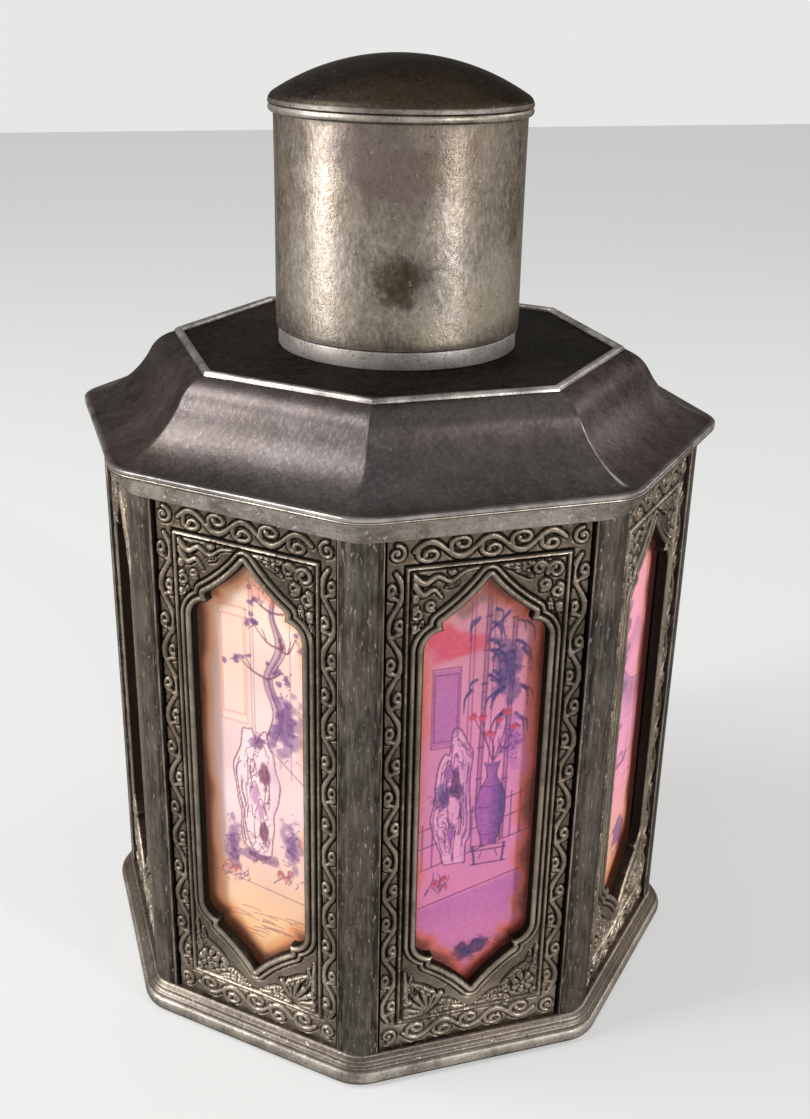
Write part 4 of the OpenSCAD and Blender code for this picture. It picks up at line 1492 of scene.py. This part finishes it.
class Sheet:
    """A sheet of paper that keeps its paint as red, green and blue from 0 to 255."""

    def __init__(self, top, middle, bottom, seed):
        self.seed = seed
        share = sheet_v / SHEET_TALL
        rise = soft_step(share, 0.45, 0.95)[..., None]
        fall = soft_step(1 - share, 0.55, 0.92)[..., None]
        self.paint = np.array(middle, float) * np.ones(sheet_u.shape + (3,))
        self.paint += (np.array(top, float) - self.paint) * rise
        self.paint += (np.array(bottom, float) - self.paint) * fall
        self.paint *= 0.94 + 0.12 * cloud(9, seed)[..., None]

    def wash(self, mask, colour, strength=1.0):
        """Lays a colour where the mask is 1."""
        self.paint += (np.array(colour, float) - self.paint) * (np.clip(mask, 0, 1) * strength)[..., None]

    def ink(self, points, width, colour, strength=0.9, tip=None):
        """Draws a brush line through a few points."""
        path = smooth_path(points, 6) if len(points) > 2 else np.array(points, float)
        widths = width + ((width if tip is None else tip) - width) * np.linspace(0, 1, len(path))
        reach = 2 * max(width, widths.max())
        lo, hi = path.min(0) - reach, path.max(0) + reach
        cols = slice(*np.searchsorted(sheet_across, (lo[0], hi[0])))
        rows = slice(*np.searchsorted(sheet_upward, (lo[1], hi[1])))
        share = path_distance(sheet_u[rows, cols], sheet_v[rows, cols], path, widths)
        mask = np.clip(1.35 - share, 0, 1) * strength
        self.paint[rows, cols] += (np.array(colour, float) - self.paint[rows, cols]) * mask[..., None]

    def blot(self, centre, size, colour, strength=0.8, ragged=0.5, cell=1.6):
        """A soft-edged patch of wet paint."""
        away = np.hypot((sheet_u - centre[0]) / size[0], (sheet_v - centre[1]) / size[1])
        edge = away + ragged * (cloud(cell, self.seed + int(centre[1] * 10)) - 0.5)
        self.wash(1 - soft_step(edge, 0.65, 1.05), colour, strength)


print("points on a sheet:", sheet_u.size)

# %% [markdown]
# ### Things to paint
# Every motif is a few brush lines and blots, and every picture combines some of
# them with its own places and colours. The far and the tall things come first.
# Small seeded shifts in a line keep it from looking ruled.

# %% Hills, trees and bamboo
def hills(sheet, level, peaks, colour, strength=0.5):
    """Far hills: a pale body under a darker outline."""
    ridge = [(-SHEET_HALF, level)] + list(peaks) + [(SHEET_HALF, level)]
    outline = smooth_path(ridge, 8)
    top = np.interp(sheet_across, outline[:, 0], outline[:, 1])[None, :]
    body = soft_step(top - sheet_v, 0.0, 0.5) * (1 - soft_step(top - sheet_v, 2.0, 9.0))
    sheet.wash(body, colour, strength)
    sheet.ink(ridge, 0.16, colour, 0.8)
    for u, v in peaks:
        sheet.ink([(u, v - 0.5), (u + 0.7, v - 2.2), (u + 0.3, v - 4.2)], 0.12, colour, 0.7)
        sheet.ink([(u - 1.1, v - 1.8), (u - 1.4, v - 3.4)], 0.12, colour, 0.6)


def tree(sheet, foot, lean, height, ink, leaf_colour, seed, blossoms=True):
    """An old twisted tree with side branches and blots of foliage or dots of blossom."""
    chance = np.random.default_rng(seed)
    trunk = [foot]
    for k in range(1, 6):
        share = k / 5
        trunk.append((
            foot[0] + lean * share + (1.6 if k % 2 else -1.3) * (1 - 0.4 * share), foot[1] + height * share
        ))
    sheet.ink(trunk, 1.25, leaf_colour, 0.30, 0.45)
    sheet.ink([(u + 0.35, v) for u, v in trunk], 0.6, leaf_colour, 0.30, 0.25)
    for side, start in ((-1.0, 0), (0.95, 0), (0.25, 1)):
        edge_line = [
            (u + side * (1 - 0.11 * k) + chance.normal(0, 0.16), v) for k, (u, v) in enumerate(trunk)
        ]
        sheet.ink(edge_line[start:], 0.13, ink, 0.85, 0.09)
    for _ in range(5):
        u, v = trunk[int(chance.integers(0, 4))]
        spot = (u + chance.uniform(-0.5, 0.5), v + chance.uniform(0, 4))
        sheet.blot(spot, (0.45, 0.7), ink, 0.7, 0.7, 0.6)
    for k in range(2, 6):
        u, v = trunk[k]
        for side in (-1, 1):
            reach = chance.uniform(3.0, 6.5) * side
            end = (u + reach, v + chance.uniform(1.5, 5.5))
            bend = (u + reach * 0.5, v + chance.uniform(-0.6, 1.2))
            sheet.ink([(u, v), bend, end], 0.26, ink, 0.8, 0.10)
            sheet.ink([bend, (bend[0] + reach * 0.2, bend[1] + 2.4)], 0.16, ink, 0.75, 0.09)
            sheet.ink([end, (end[0] + reach * 0.25, end[1] - 1.2)], 0.14, ink, 0.75, 0.08)
            for _ in range(5):
                spot = (end[0] + chance.normal(0, 1.3), end[1] + chance.normal(0, 1.1))
                if blossoms:
                    sheet.blot(spot, (0.75, 0.6), leaf_colour, 0.55, 1.0, 0.7)
                    fallen = (spot[0] + chance.uniform(-0.7, 0.7), spot[1] - 0.5)
                    sheet.ink([spot, fallen], 0.14, ink, 0.5, 0.06)
                else:
                    sheet.blot(spot, (1.7, 1.0), leaf_colour, 0.55, 0.7, 0.8)


def bamboo(sheet, foot, height, ink, leaf_colour, seed):
    """A jointed stem with hanging leaves."""
    chance = np.random.default_rng(seed)
    joints = 7
    for k in range(joints):
        low, high = foot[1] + height * k / joints, foot[1] + height * (k + 1) / joints - 0.5
        u = foot[0] + 0.10 * k
        for side, width, strength in ((0, 0.42, 0.30), (-0.36, 0.12, 0.8), (0.36, 0.12, 0.8)):
            sheet.ink([(u + side, low), (u + side + 0.08, high)], width, ink, strength)
        sheet.ink([(u - 0.5, high + 0.2), (u + 0.6, high + 0.3)], 0.15, ink, 0.9)
        if k < 3:
            continue
        for _ in range(5):
            side = chance.choice((-1, 1))
            start = (u + side * chance.uniform(0.5, 2.5), high + chance.uniform(-1, 2.5))
            end = (start[0] + side * chance.uniform(1.0, 2.6), start[1] - chance.uniform(2.2, 4.6))
            bend = ((start[0] + end[0]) / 2 + side * 0.5, (start[1] + end[1]) / 2 + 0.6)
            sheet.ink([start, bend, end], 0.36, leaf_colour, 0.8, 0.08)


print("motifs so far:", [motif.__name__ for motif in (hills, tree, bamboo)])

# %% [markdown]
# A garden stone is a pale, ragged outline pierced by holes. A vase is drawn from
# the profile of its side, and one edge of it is painted darker to make it round.

# %% Stones, leaves, a vase and a scroll
def rock(sheet, centre, size, body, ink, seed):
    """A small rock in wet paint with a few cracks."""
    chance = np.random.default_rng(seed)
    sheet.blot(centre, size, body, 0.85, 0.8, 1.5)
    for _ in range(5):
        u = centre[0] + chance.uniform(-0.7, 0.7) * size[0]
        v = centre[1] + chance.uniform(-0.6, 0.4) * size[1]
        sheet.ink([(u, v), (u + chance.uniform(-0.7, 0.7), v + 1.0), (u + chance.uniform(-1, 1), v + 2.0)],
                  0.18, ink, 0.8, 0.1)


def stone(sheet, foot, wide, tall, body, ink, deep, seed):
    """A tall garden stone, pierced and folded, drawn in fine lines over a pale body."""
    chance = np.random.default_rng(seed)
    middle = np.array((foot[0], foot[1] + tall / 2))
    angles = np.linspace(0, 2 * math.pi, 30)[:-1]
    ragged = 1 + 0.11 * np.sin(3 * angles + seed) + 0.08 * np.sin(7 * angles + 2 * seed)
    ragged += 0.05 * np.sin(12 * angles)
    ring = np.stack((np.cos(angles) * wide / 2 * ragged, np.sin(angles) * tall / 2 * ragged), 1)
    ring[:, 1] = np.maximum(ring[:, 1], -0.40 * tall)
    place_angle = np.arctan2((sheet_v - middle[1]) / tall, (sheet_u - middle[0]) / wide) % (2 * math.pi)
    edge = np.interp(place_angle, np.append(angles, 2 * math.pi), np.append(ragged, ragged[0]))
    share = np.hypot((sheet_u - middle[0]) / (wide / 2), (sheet_v - middle[1]) / (tall / 2)) / edge
    inside = (1 - soft_step(share, 0.92, 1.0)) * (sheet_v > middle[1] - 0.40 * tall)
    sheet.wash(inside, body, 0.8)
    shade = soft_step((sheet_u - middle[0]) / wide + 0.5 * cloud(4, seed + 9), 0.25, 0.95)
    sheet.wash(inside * shade, deep, 0.42)
    closed = np.vstack((ring, ring[:2])) + middle
    sheet.ink(closed, 0.13, ink, 0.85)
    for shrink in (0.88, 0.76, 0.62, 0.48, 0.34):
        for _ in range(6):
            first = int(chance.integers(0, 29))
            bend = [middle + ring[(first + j) % 29] * (shrink + 0.05 * chance.normal()) for j in range(5)]
            sheet.ink(bend, 0.12, ink, 0.75, 0.06)
    for _ in range(7):
        u = middle[0] + chance.uniform(-0.32, 0.32) * wide
        v = middle[1] + chance.uniform(-0.40, 0.10) * tall
        bend = (u + chance.uniform(-0.5, 0.5), v + tall * 0.12)
        end = (u + chance.uniform(-0.8, 0.8), v + tall * 0.24)
        sheet.ink([(u, v), bend, end], 0.13, ink, 0.75, 0.06)
    for _ in range(2):
        mark = middle + np.array((chance.uniform(-0.3, 0.3) * wide, chance.uniform(-0.3, 0.2) * tall))
        sheet.blot(mark, (wide * 0.13, tall * 0.10), ink, 0.75, 0.9, 1.2)
    for _ in range(2):
        hole = middle + np.array((chance.uniform(-0.2, 0.2) * wide, chance.uniform(-0.25, 0.3) * tall))
        sheet.blot(hole, (wide * 0.10, tall * 0.07), deep, 0.9, 0.5)
        arch = [hole + (-0.12 * wide, 0), hole + (0, 0.09 * tall), hole + (0.13 * wide, 0)]
        sheet.ink(arch, 0.11, ink, 0.8)


def foliage(sheet, place, spread, colour, ink, seed, count=70):
    """A clump of leaves: a soft cloud of colour under many small dabs."""
    chance = np.random.default_rng(seed)
    sheet.blot(place, (spread[0] * 1.5, spread[1] * 1.5), colour, 0.40, 1.1, 1.5)
    sheet.blot(place, (spread[0] * 0.9, spread[1] * 0.9), colour, 0.45, 1.0, 1.0)
    for _ in range(count):
        u, v = np.array(place) + chance.normal(0, 1, 2) * np.array(spread) * 0.75
        reach, rise = chance.uniform(-0.9, 0.9), chance.uniform(-0.9, 0.2)
        sheet.ink([(u, v), (u + reach, v + rise)], 0.17, ink, 0.45, 0.06)


def vase_on_stand(sheet, foot, wide, tall, body, ink, deep, petal, seed):
    """A tall vase of flowers on a low carved stand."""
    chance = np.random.default_rng(seed)
    u, v = foot
    stand = tall * 0.16
    for level in (0.0, stand * 0.75, stand):
        sheet.ink([(u - wide * 0.55, v + level), (u + wide * 0.55, v + level)], 0.13, ink, 0.85)
    for side in (-1, 1):
        sheet.ink([(u + side * wide * 0.5, v + stand), (u + side * wide * 0.44, v)], 0.22, deep, 0.9)
        brace = [(u + side * wide * 0.2, v + stand * 0.7), (u + side * wide * 0.3, v + stand * 0.3)]
        sheet.ink(brace, 0.12, ink, 0.8)
    levels = v + stand + tall * np.array((0, 0.04, 0.28, 0.46, 0.60, 0.72))
    profile = smooth_path(list(zip(wide * np.array((0.20, 0.24, 0.46, 0.40, 0.15, 0.24)), levels)), 8)
    half = np.interp(sheet_v, profile[:, 1], profile[:, 0])
    mask = soft_step(half - np.abs(sheet_u - u), 0, 0.2) * (sheet_v > levels[0]) * (sheet_v < levels[-1])
    sheet.wash(mask, body, 0.85)
    sheet.wash(mask * soft_step((sheet_u - u) / (wide * 0.5), -0.3, 0.9), deep, 0.65)
    for side in (-1, 1):
        sheet.ink([(u + side * w, level) for w, level in profile[::4]], 0.13, ink, 0.9)
    for level in (0.10, 0.34, 0.52, 0.70):
        here = v + stand + tall * level
        w = np.interp(here, profile[:, 1], profile[:, 0])
        sheet.ink([(u - w, here), (u, here - 0.25), (u + w, here)], 0.11, ink, 0.7)
    mouth = v + stand + tall * 0.72
    for k in range(6):
        end = (u + (k - 2.5) * wide * 0.26, mouth + tall * chance.uniform(0.22, 0.42))
        bend = ((u + end[0]) / 2 + chance.uniform(-0.5, 0.5), (mouth + end[1]) / 2)
        sheet.ink([(u, mouth), bend, end], 0.12, ink, 0.8)
        sheet.blot(end, (0.95, 0.85), petal, 0.85, 0.5, 0.7)
        sheet.ink([(end[0] - 0.5, end[1]), (end[0], end[1] + 0.45), (end[0] + 0.5, end[1])], 0.10, ink, 0.8)


def hanging_scroll(sheet, place, wide, tall, body, ink):
    """A plain scroll or shutter: a tall rectangle in a double line."""
    u, v = place
    inside = soft_step(wide / 2 - np.abs(sheet_u - u), 0, 0.3)
    sheet.wash(inside * soft_step(tall / 2 - np.abs(sheet_v - v), 0, 0.3), body, 0.55)
    for shrink in (0.5, 0.42):
        w, h = wide * shrink, tall * (shrink + 0.01)
        for side in (-1, 1):
            sheet.ink([(u + side * w, v - h), (u + side * w, v + h)], 0.11, ink, 0.65)
            sheet.ink([(u - w, v + side * h), (u + w, v + side * h)], 0.11, ink, 0.65)


print("motifs for the middle:", [m.__name__ for m in (rock, stone, foliage, vase_on_stand, hanging_scroll)])

# %% [markdown]
# Low flowers, a fence, ripples and an empty boat fill the lower half of a
# picture.

# %% Flowers, a fence, water and a boat
def flowers(sheet, place, spread, petal, leaf_colour, ink, seed):
    """A low clump of flowers and leaves."""
    chance = np.random.default_rng(seed)
    for _ in range(14):
        u, v = place[0] + chance.normal(0, spread), place[1] + chance.normal(0, spread * 0.5)
        tip = (u + chance.uniform(-1.6, 1.6), v + chance.uniform(0.8, 2.6))
        sheet.ink([(u, v), ((u + tip[0]) / 2 + 0.3, (v + tip[1]) / 2), tip], 0.15, leaf_colour, 0.6, 0.06)
    for _ in range(5):
        u, v = place[0] + chance.normal(0, spread), place[1] + 1.4 + chance.normal(0, spread * 0.5)
        sheet.blot((u, v), (0.8, 0.7), petal, 0.55, 0.7, 0.8)
        sheet.ink([(u - 0.5, v), (u, v + 0.5), (u + 0.5, v)], 0.10, ink, 0.7)


def fence(sheet, left, right, rail, ink):
    """A garden fence: two rails and thin posts. left and right are its lower corners."""
    for level in (0.0, rail * 0.55, rail):
        sheet.ink([(left[0], left[1] + level), (right[0], right[1] + level)], 0.13, ink, 0.8)
    for k in range(13):
        share = k / 12
        u = left[0] + (right[0] - left[0]) * share
        v = left[1] + (right[1] - left[1]) * share
        sheet.ink([(u, v), (u, v + rail * 1.12)], 0.12, ink, 0.75)


def water(sheet, low, high, ink, seed):
    """Short level ripples."""
    chance = np.random.default_rng(seed)
    for _ in range(22):
        u, v, long = chance.uniform(-10, 10), chance.uniform(low, high), chance.uniform(1.2, 3.6)
        sheet.ink([(u - long, v), (u, v + 0.25), (u + long, v)], 0.12, ink, 0.5)


def boat(sheet, centre, ink):
    """An empty boat with a mat roof."""
    u, v = centre
    sheet.ink([(u - 4, v + 0.9), (u - 2, v), (u + 2, v), (u + 4.2, v + 1.1)], 0.42, ink, 0.9)
    canopy = [(u - 1.8, v + 0.4), (u - 1.2, v + 2.1), (u + 1.2, v + 2.1), (u + 1.8, v + 0.4)]
    sheet.ink(canopy, 0.32, ink, 0.8)
    sheet.ink([(u + 2.8, v - 0.8), (u + 3.6, v + 5.5)], 0.18, ink, 0.8)


print("motifs for the ground:", [motif.__name__ for motif in (flowers, fence, water, boat)])

# %% [markdown]
# ### Eight paintings
# Three compositions serve for all eight sides. The first is a garden with
# bamboo, a tall stone, a vase and a fence. flip turns a composition left to
# right, so that it can be used again without repeating itself.

# %% The garden
def garden(colours, seed, flip):
    """Bamboo over a tall stone and a vase on a stand, with a fence behind and rocks below."""
    sheet = Sheet(colours["top"], colours["middle"], colours["bottom"], seed)
    ink, deep, blush = colours["ink"], colours["deep"], colours["blush"]
    sheet.blot((flip * -4.5, 80), (6.5, 3.6), blush, 0.75, 0.5, 2.4)
    sheet.blot((0, 90), (9.0, 5.5), (98, 74, 70), 0.65, 0.7, 3.0)
    hanging_scroll(sheet, (flip * -5.6, 68), 5.0, 15, colours["pale"], ink)
    for place in (-1.6, -0.9, 2.6):
        sheet.ink([(flip * place, 50), (flip * place, 92)], 0.12, ink, 0.5)
    bamboo(sheet, (flip * 0.9, 47), 44, ink, deep, seed)
    bamboo(sheet, (flip * 5.6, 40), 44, ink, deep, seed + 1)
    foliage(sheet, (flip * 5.4, 74), (2.0, 4.6), deep, deep, seed + 7, 90)
    foliage(sheet, (flip * 6.8, 60), (1.5, 3.4), colours["pale"], deep, seed + 8, 50)
    fence(sheet, (-11, 37 - 2 * flip), (11, 37 + 4 * flip), 8.5, ink)
    stone(sheet, (flip * -3.6, 33), 7.0, 30, colours["light"], ink, colours["pale"], seed)
    foliage(sheet, (flip * -5.6, 50), (1.2, 1.8), deep, ink, seed + 9, 40)
    vase_on_stand(sheet, (flip * 3.4, 35), 6.0, 24, colours["pale"], ink, deep, blush, seed + 2)
    flowers(sheet, (flip * -6.4, 31), 1.4, blush, deep, ink, seed + 4)
    ground = soft_step(30 + 0.27 * sheet_u * flip - sheet_v, 0, 1.0)
    sheet.wash(ground * soft_step(sheet_v, 14, 26), colours["pale"], 0.45)
    sheet.wash(ground * (1 - soft_step(sheet_v, 20, 28)), colours["middle"], 0.5)
    sheet.ink([(-11, 30 - 3 * flip), (11, 30 + 3 * flip)], 0.13, ink, 0.75)
    sheet.blot((flip * 1.2, 16.5), (2.6, 1.7), ink, 0.85, 1.1, 1.3)
    foliage(sheet, (flip * -1.0, 15.5), (2.2, 1.2), ink, deep, seed + 10, 50)
    foliage(sheet, (flip * 3.2, 17.5), (1.4, 1.0), ink, deep, seed + 12, 30)
    return sheet


print(garden.__name__, "-", garden.__doc__)

# %% [markdown]
# The second is a terrace: an old tree in blossom above a pierced stone, with
# water in front. The leaves are blots, laid over one another as wet paint is.

# %% The terrace
def terrace(colours, seed, flip):
    """An old tree and a scroll above a tall pierced stone and a stand of flowers."""
    sheet = Sheet(colours["top"], colours["middle"], colours["bottom"], seed)
    ink, deep, blush = colours["ink"], colours["deep"], colours["blush"]
    hanging_scroll(sheet, (flip * -5.0, 72), 5.4, 22, colours["top"], blush)
    for place in (-1.4, -0.8, 6.6):
        sheet.ink([(flip * place, 52), (flip * place, 92)], 0.11, ink, 0.4)
    tree(sheet, (flip * 2.2, 58), flip * 2.0, 32, ink, deep, seed)
    foliage(sheet, (flip * 5.6, 63), (2.1, 4.8), deep, deep, seed + 7, 70)
    foliage(sheet, (flip * 2.6, 88), (3.2, 2.2), blush, ink, seed + 8, 60)
    sheet.ink([(flip * 1.0, 58), (flip * 11, 50)], 0.12, ink, 0.6)
    stone(sheet, (flip * -0.8, 31), 8.6, 30, colours["light"], ink, colours["pale"], seed + 1)
    foliage(sheet, (flip * 6.4, 38), (1.5, 4.0), deep, deep, seed + 9, 50)
    foliage(sheet, (flip * -6.2, 34), (1.2, 4.4), deep, deep, seed + 11, 50)
    foliage(sheet, (flip * -0.2, 58), (1.2, 1.0), deep, ink, seed + 12, 30)
    foliage(sheet, (flip * -0.8, 33.5), (3.0, 0.9), deep, ink, seed + 13, 60)
    flowers(sheet, (flip * 5.0, 30), 1.5, blush, deep, ink, seed + 3)
    flowers(sheet, (flip * -5.4, 28), 1.4, blush, deep, ink, seed + 6)
    sheet.ink([(-11, 27 + 1 * flip), (11, 27 - 1 * flip)], 0.12, ink, 0.5)
    water(sheet, 15, 22, ink, seed + 4)
    return sheet


print(terrace.__name__, "-", terrace.__doc__)

# %% [markdown]
# The third is a lake. Its farther hills are pale, because distance takes the
# colour out of things, and the tree in front of them is dark.

# %% The lake
def lake(colours, seed, flip):
    """Hills across a lake, a leaning tree and a boat."""
    sheet = Sheet(colours["top"], colours["middle"], colours["bottom"], seed)
    ink, deep = colours["ink"], colours["deep"]
    sheet.blot((flip * 4, 82), (2.2, 2.2), colours["blush"], 0.7, 0.05)
    hills(sheet, 62, [(-8, 66), (-3, 76), (2, 68), (7, 71)], colours["pale"], 0.6)
    hills(sheet, 56, [(-6, 58), (0, 62), (6, 58)], deep, 0.4)
    tree(sheet, (flip * -8.5, 26), flip * 6, 44, ink, deep, seed, blossoms=False)
    boat(sheet, (flip * 3.4, 40), ink)
    water(sheet, 20, 52, ink, seed)
    rock(sheet, (flip * 6.8, 22), (3.6, 4.2), deep, ink, seed + 1)
    rock(sheet, (flip * -6.4, 21), (4.0, 3.4), colours["ground"], ink, seed + 2)
    return sheet


print(lake.__name__, "-", lake.__doc__)

# %% [markdown]
# Each picture is a composition in one of three sets of colours, given as red,
# green and blue from 0 to 255. Heat and light have turned the sheets' edges
# orange, and the last value of a row says how strongly.

# %% The eight pictures
PEACH = {
    "top": (255, 224, 206), "middle": (255, 222, 224), "bottom": (248, 196, 136), "pale": (208, 150, 192),
    "ink": (112, 46, 84), "deep": (88, 42, 120), "blush": (236, 132, 106), "ground": (240, 190, 186),
    "light": (255, 232, 236), "edge": (238, 146, 84),
}
PLUM = {
    "top": (206, 136, 152), "middle": (222, 132, 184), "bottom": (206, 108, 150), "pale": (160, 78, 168),
    "ink": (68, 16, 84), "deep": (36, 18, 102), "blush": (214, 56, 92),
    "light": (238, 168, 208), "edge": (224, 92, 50),
}
ROSE = {
    "top": (240, 150, 166), "middle": (240, 150, 192), "bottom": (246, 172, 116), "pale": (204, 104, 158),
    "ink": (126, 40, 98), "deep": (112, 42, 120), "blush": (238, 100, 108), "ground": (240, 166, 178),
    "light": (248, 190, 210), "edge": (240, 128, 76),
}
PICTURES = [
    (garden, PLUM, 1, 0.75), (lake, ROSE, 1, 0.5), (terrace, PEACH, 1, 0.5), (garden, ROSE, -1, 0.6),
    (terrace, PLUM, -1, 0.7), (lake, PEACH, -1, 0.5), (garden, ROSE, 1, 0.5), (terrace, PEACH, 1, 0.75),
]
FIRST_SEED = 11
sheets = [
    compose(colours, FIRST_SEED + k, flip) for k, (compose, colours, flip, _) in enumerate(PICTURES)
]
print("pictures:", [row[0].__name__ for row in PICTURES])

# %% [markdown]
# The paint is kept as a colour for each point of the sheet. A sheet is a shallow
# tray, as a pane is: a fine grid in front and four narrow edges behind it. It is
# darkened along the window's edge before it is hung.

# %% Ageing the sheets and hanging them
paper, paper_tree = finish_on("painted_paper")
paint_node = add(paper_tree, "ShaderNodeAttribute", {"attribute_name": "paint"})
fibre_place = add(paper_tree, "ShaderNodeTexCoord").outputs["Object"]
fibres = ramp(paper_tree, noise(paper_tree, fibre_place, 1200.0, 2.0, 0.5), 0.3, 0.7, 0.0, 0.10)
paper_colour = blend_colours(paper_tree, fibres, paint_node.outputs["Color"], (0.85, 0.62, 0.55, 1))
# The paper also glows faintly by itself, a painted glow that makes the pictures look lit through.
paper_shader = add(
    paper_tree, "ShaderNodeBsdfPrincipled", Base_Color=paper_colour, Roughness=0.7,
    Emission_Color=paper_colour, Emission_Strength=0.10
)
add(paper_tree, "ShaderNodeOutputMaterial", Surface=paper_shader.outputs[0])
PAPER_CLEAR = 0.02
WINDOW_EDGE_DARK = (70, 34, 30)
PAPER_EDGE = (0.5, 0.36, 0.28)


def straight_light(values):
    """Turns painted values from 0 to 255 into amounts of light from 0 to 1."""
    v = np.clip(values / 255, 0, 1)
    return np.where(v <= 0.04045, v / 12.92, ((v + 0.055) / 1.055) ** 2.4)


def tray(front, shape, back_x, number):
    """A grid of front points with four edges behind it, moved to a side.

    Returns its points, its faces and the numbers of the points at the back.
    """
    quads, edge = grid_quads(shape)
    back = front[edge].copy()
    back[:, 0] = back_x
    here = len(front) + np.arange(len(edge))
    edges = np.stack((np.roll(edge, -1), edge, here, np.roll(here, -1)), 1)
    return turn_to_side(np.vstack((front, back)) * MM, number), np.vstack((quads, edges)).tolist(), here


def hang_picture(number, sheet, edge, strength):
    """Turns the edge of a sheet orange with age, darkens it close along the window, and sets it behind a
    window.
    """
    rise = sheet_v + SHEET_FOOT - PLATE_FOOT - PLATE_TALL / 2
    inward = -window_distance(sheet_u, rise)
    ragged = inward + 2.2 * (cloud(5, sheet.seed + 50) - 0.5)
    sheet.wash(1 - soft_step(ragged, 0.2, 3.4), edge, strength)
    sheet.wash(1 - soft_step(ragged, -0.6, 1.2), WINDOW_EDGE_DARK, 0.55)
    depth = np.full(sheet_u.size, SHEET_FACE - PAPER_CLEAR)
    front = np.stack((depth, sheet_u.ravel(), sheet_v.ravel() + SHEET_FOOT), 1)
    verts, faces, edge_points = tray(front, sheet_u.shape, SHEET_BACK + PAPER_CLEAR, number)
    faces.append(tuple(int(k) for k in edge_points[::-1]))
    piece = make_piece(f"picture_sheet_{number}", verts, faces, "caddy", paper,
                       [f"picture_{number}"])
    colours = np.ones((len(verts), 4), np.float32)
    colours[:len(front), :3] = straight_light(sheet.paint).reshape(-1, 3)
    colours[len(front):, :3] = PAPER_EDGE
    layer = piece.data.attributes.new("paint", "FLOAT_COLOR", "POINT")
    layer.data.foreach_set("color", colours.ravel())


for number, (sheet, (_, colours, _, strength)) in enumerate(zip(sheets, PICTURES), 1):
    hang_picture(number, sheet, colours["edge"], strength)
print("sheets hung:", len(sheets))

# %% [markdown]
# ## Glass
# The panes are old sheet glass, a little wavy. A pane this thin hardly bends
# what is behind it, so its finish lets light straight through and only adds a
# mirrored share that grows towards a glancing view. The pane is a shallow tray:
# a face and four edges.

# %% The panes
glass_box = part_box("glass_1")
GLASS_FACE, GLASS_BACK = -glass_box[0][1] / MM, -glass_box[1][1] / MM
GLASS_HALF = glass_box[1][0] / MM
GLASS_FOOT, GLASS_TOP = glass_box[0][2] / MM, glass_box[1][2] / MM
pane_glass, pane_tree = finish_on("window_glass")
glass_place = add(pane_tree, "ShaderNodeTexCoord").outputs["Object"]
glass_ripple = noise(pane_tree, glass_place, 70.0, 1.0)
glass_wave = add(
    pane_tree, "ShaderNodeBump", Strength=0.25, Distance=0.0004, Height=glass_ripple
).outputs[0]
through = add(pane_tree, "ShaderNodeBsdfTransparent", Color=(0.97, 0.975, 0.96, 1))
mirror = add(pane_tree, "ShaderNodeBsdfGlossy", Color=(1, 1, 1, 1), Roughness=0.04, Normal=glass_wave)
glance = add(pane_tree, "ShaderNodeFresnel", IOR=1.30, Normal=glass_wave)
glance_share = maths(pane_tree, "MULTIPLY", glance.outputs[0], 0.75)
pane_mix = add(pane_tree, "ShaderNodeMixShader", Fac=glance_share, i1=through.outputs[0],
               i2=mirror.outputs[0])
add(pane_tree, "ShaderNodeOutputMaterial", Surface=pane_mix.outputs[0])

PANE_COLS, PANE_ROWS = 16, 48
PANE_WAVE, PANE_CLEAR = 0.10, 0.03
pane_us = np.linspace(-GLASS_HALF, GLASS_HALF, PANE_COLS + 1)
pane_vs = np.linspace(GLASS_FOOT, GLASS_TOP, PANE_ROWS + 1)
pane_u, pane_v = np.meshgrid(pane_us, pane_vs)
for number in range(1, SIDES + 1):
    front = np.stack((np.full(pane_u.size, GLASS_FACE), pane_u.ravel(), pane_v.ravel()), 1)
    front[:, 0] -= PANE_WAVE * (0.5 + 0.5 * np.clip(ripple(front + 40 * number, 14.0), -1, 1))
    verts, faces, _ = tray(front, pane_u.shape, GLASS_BACK + PANE_CLEAR, number)
    make_piece(f"pane_{number}", verts, faces, "caddy", pane_glass, [f"glass_{number}"])
print("panes:", SIDES)
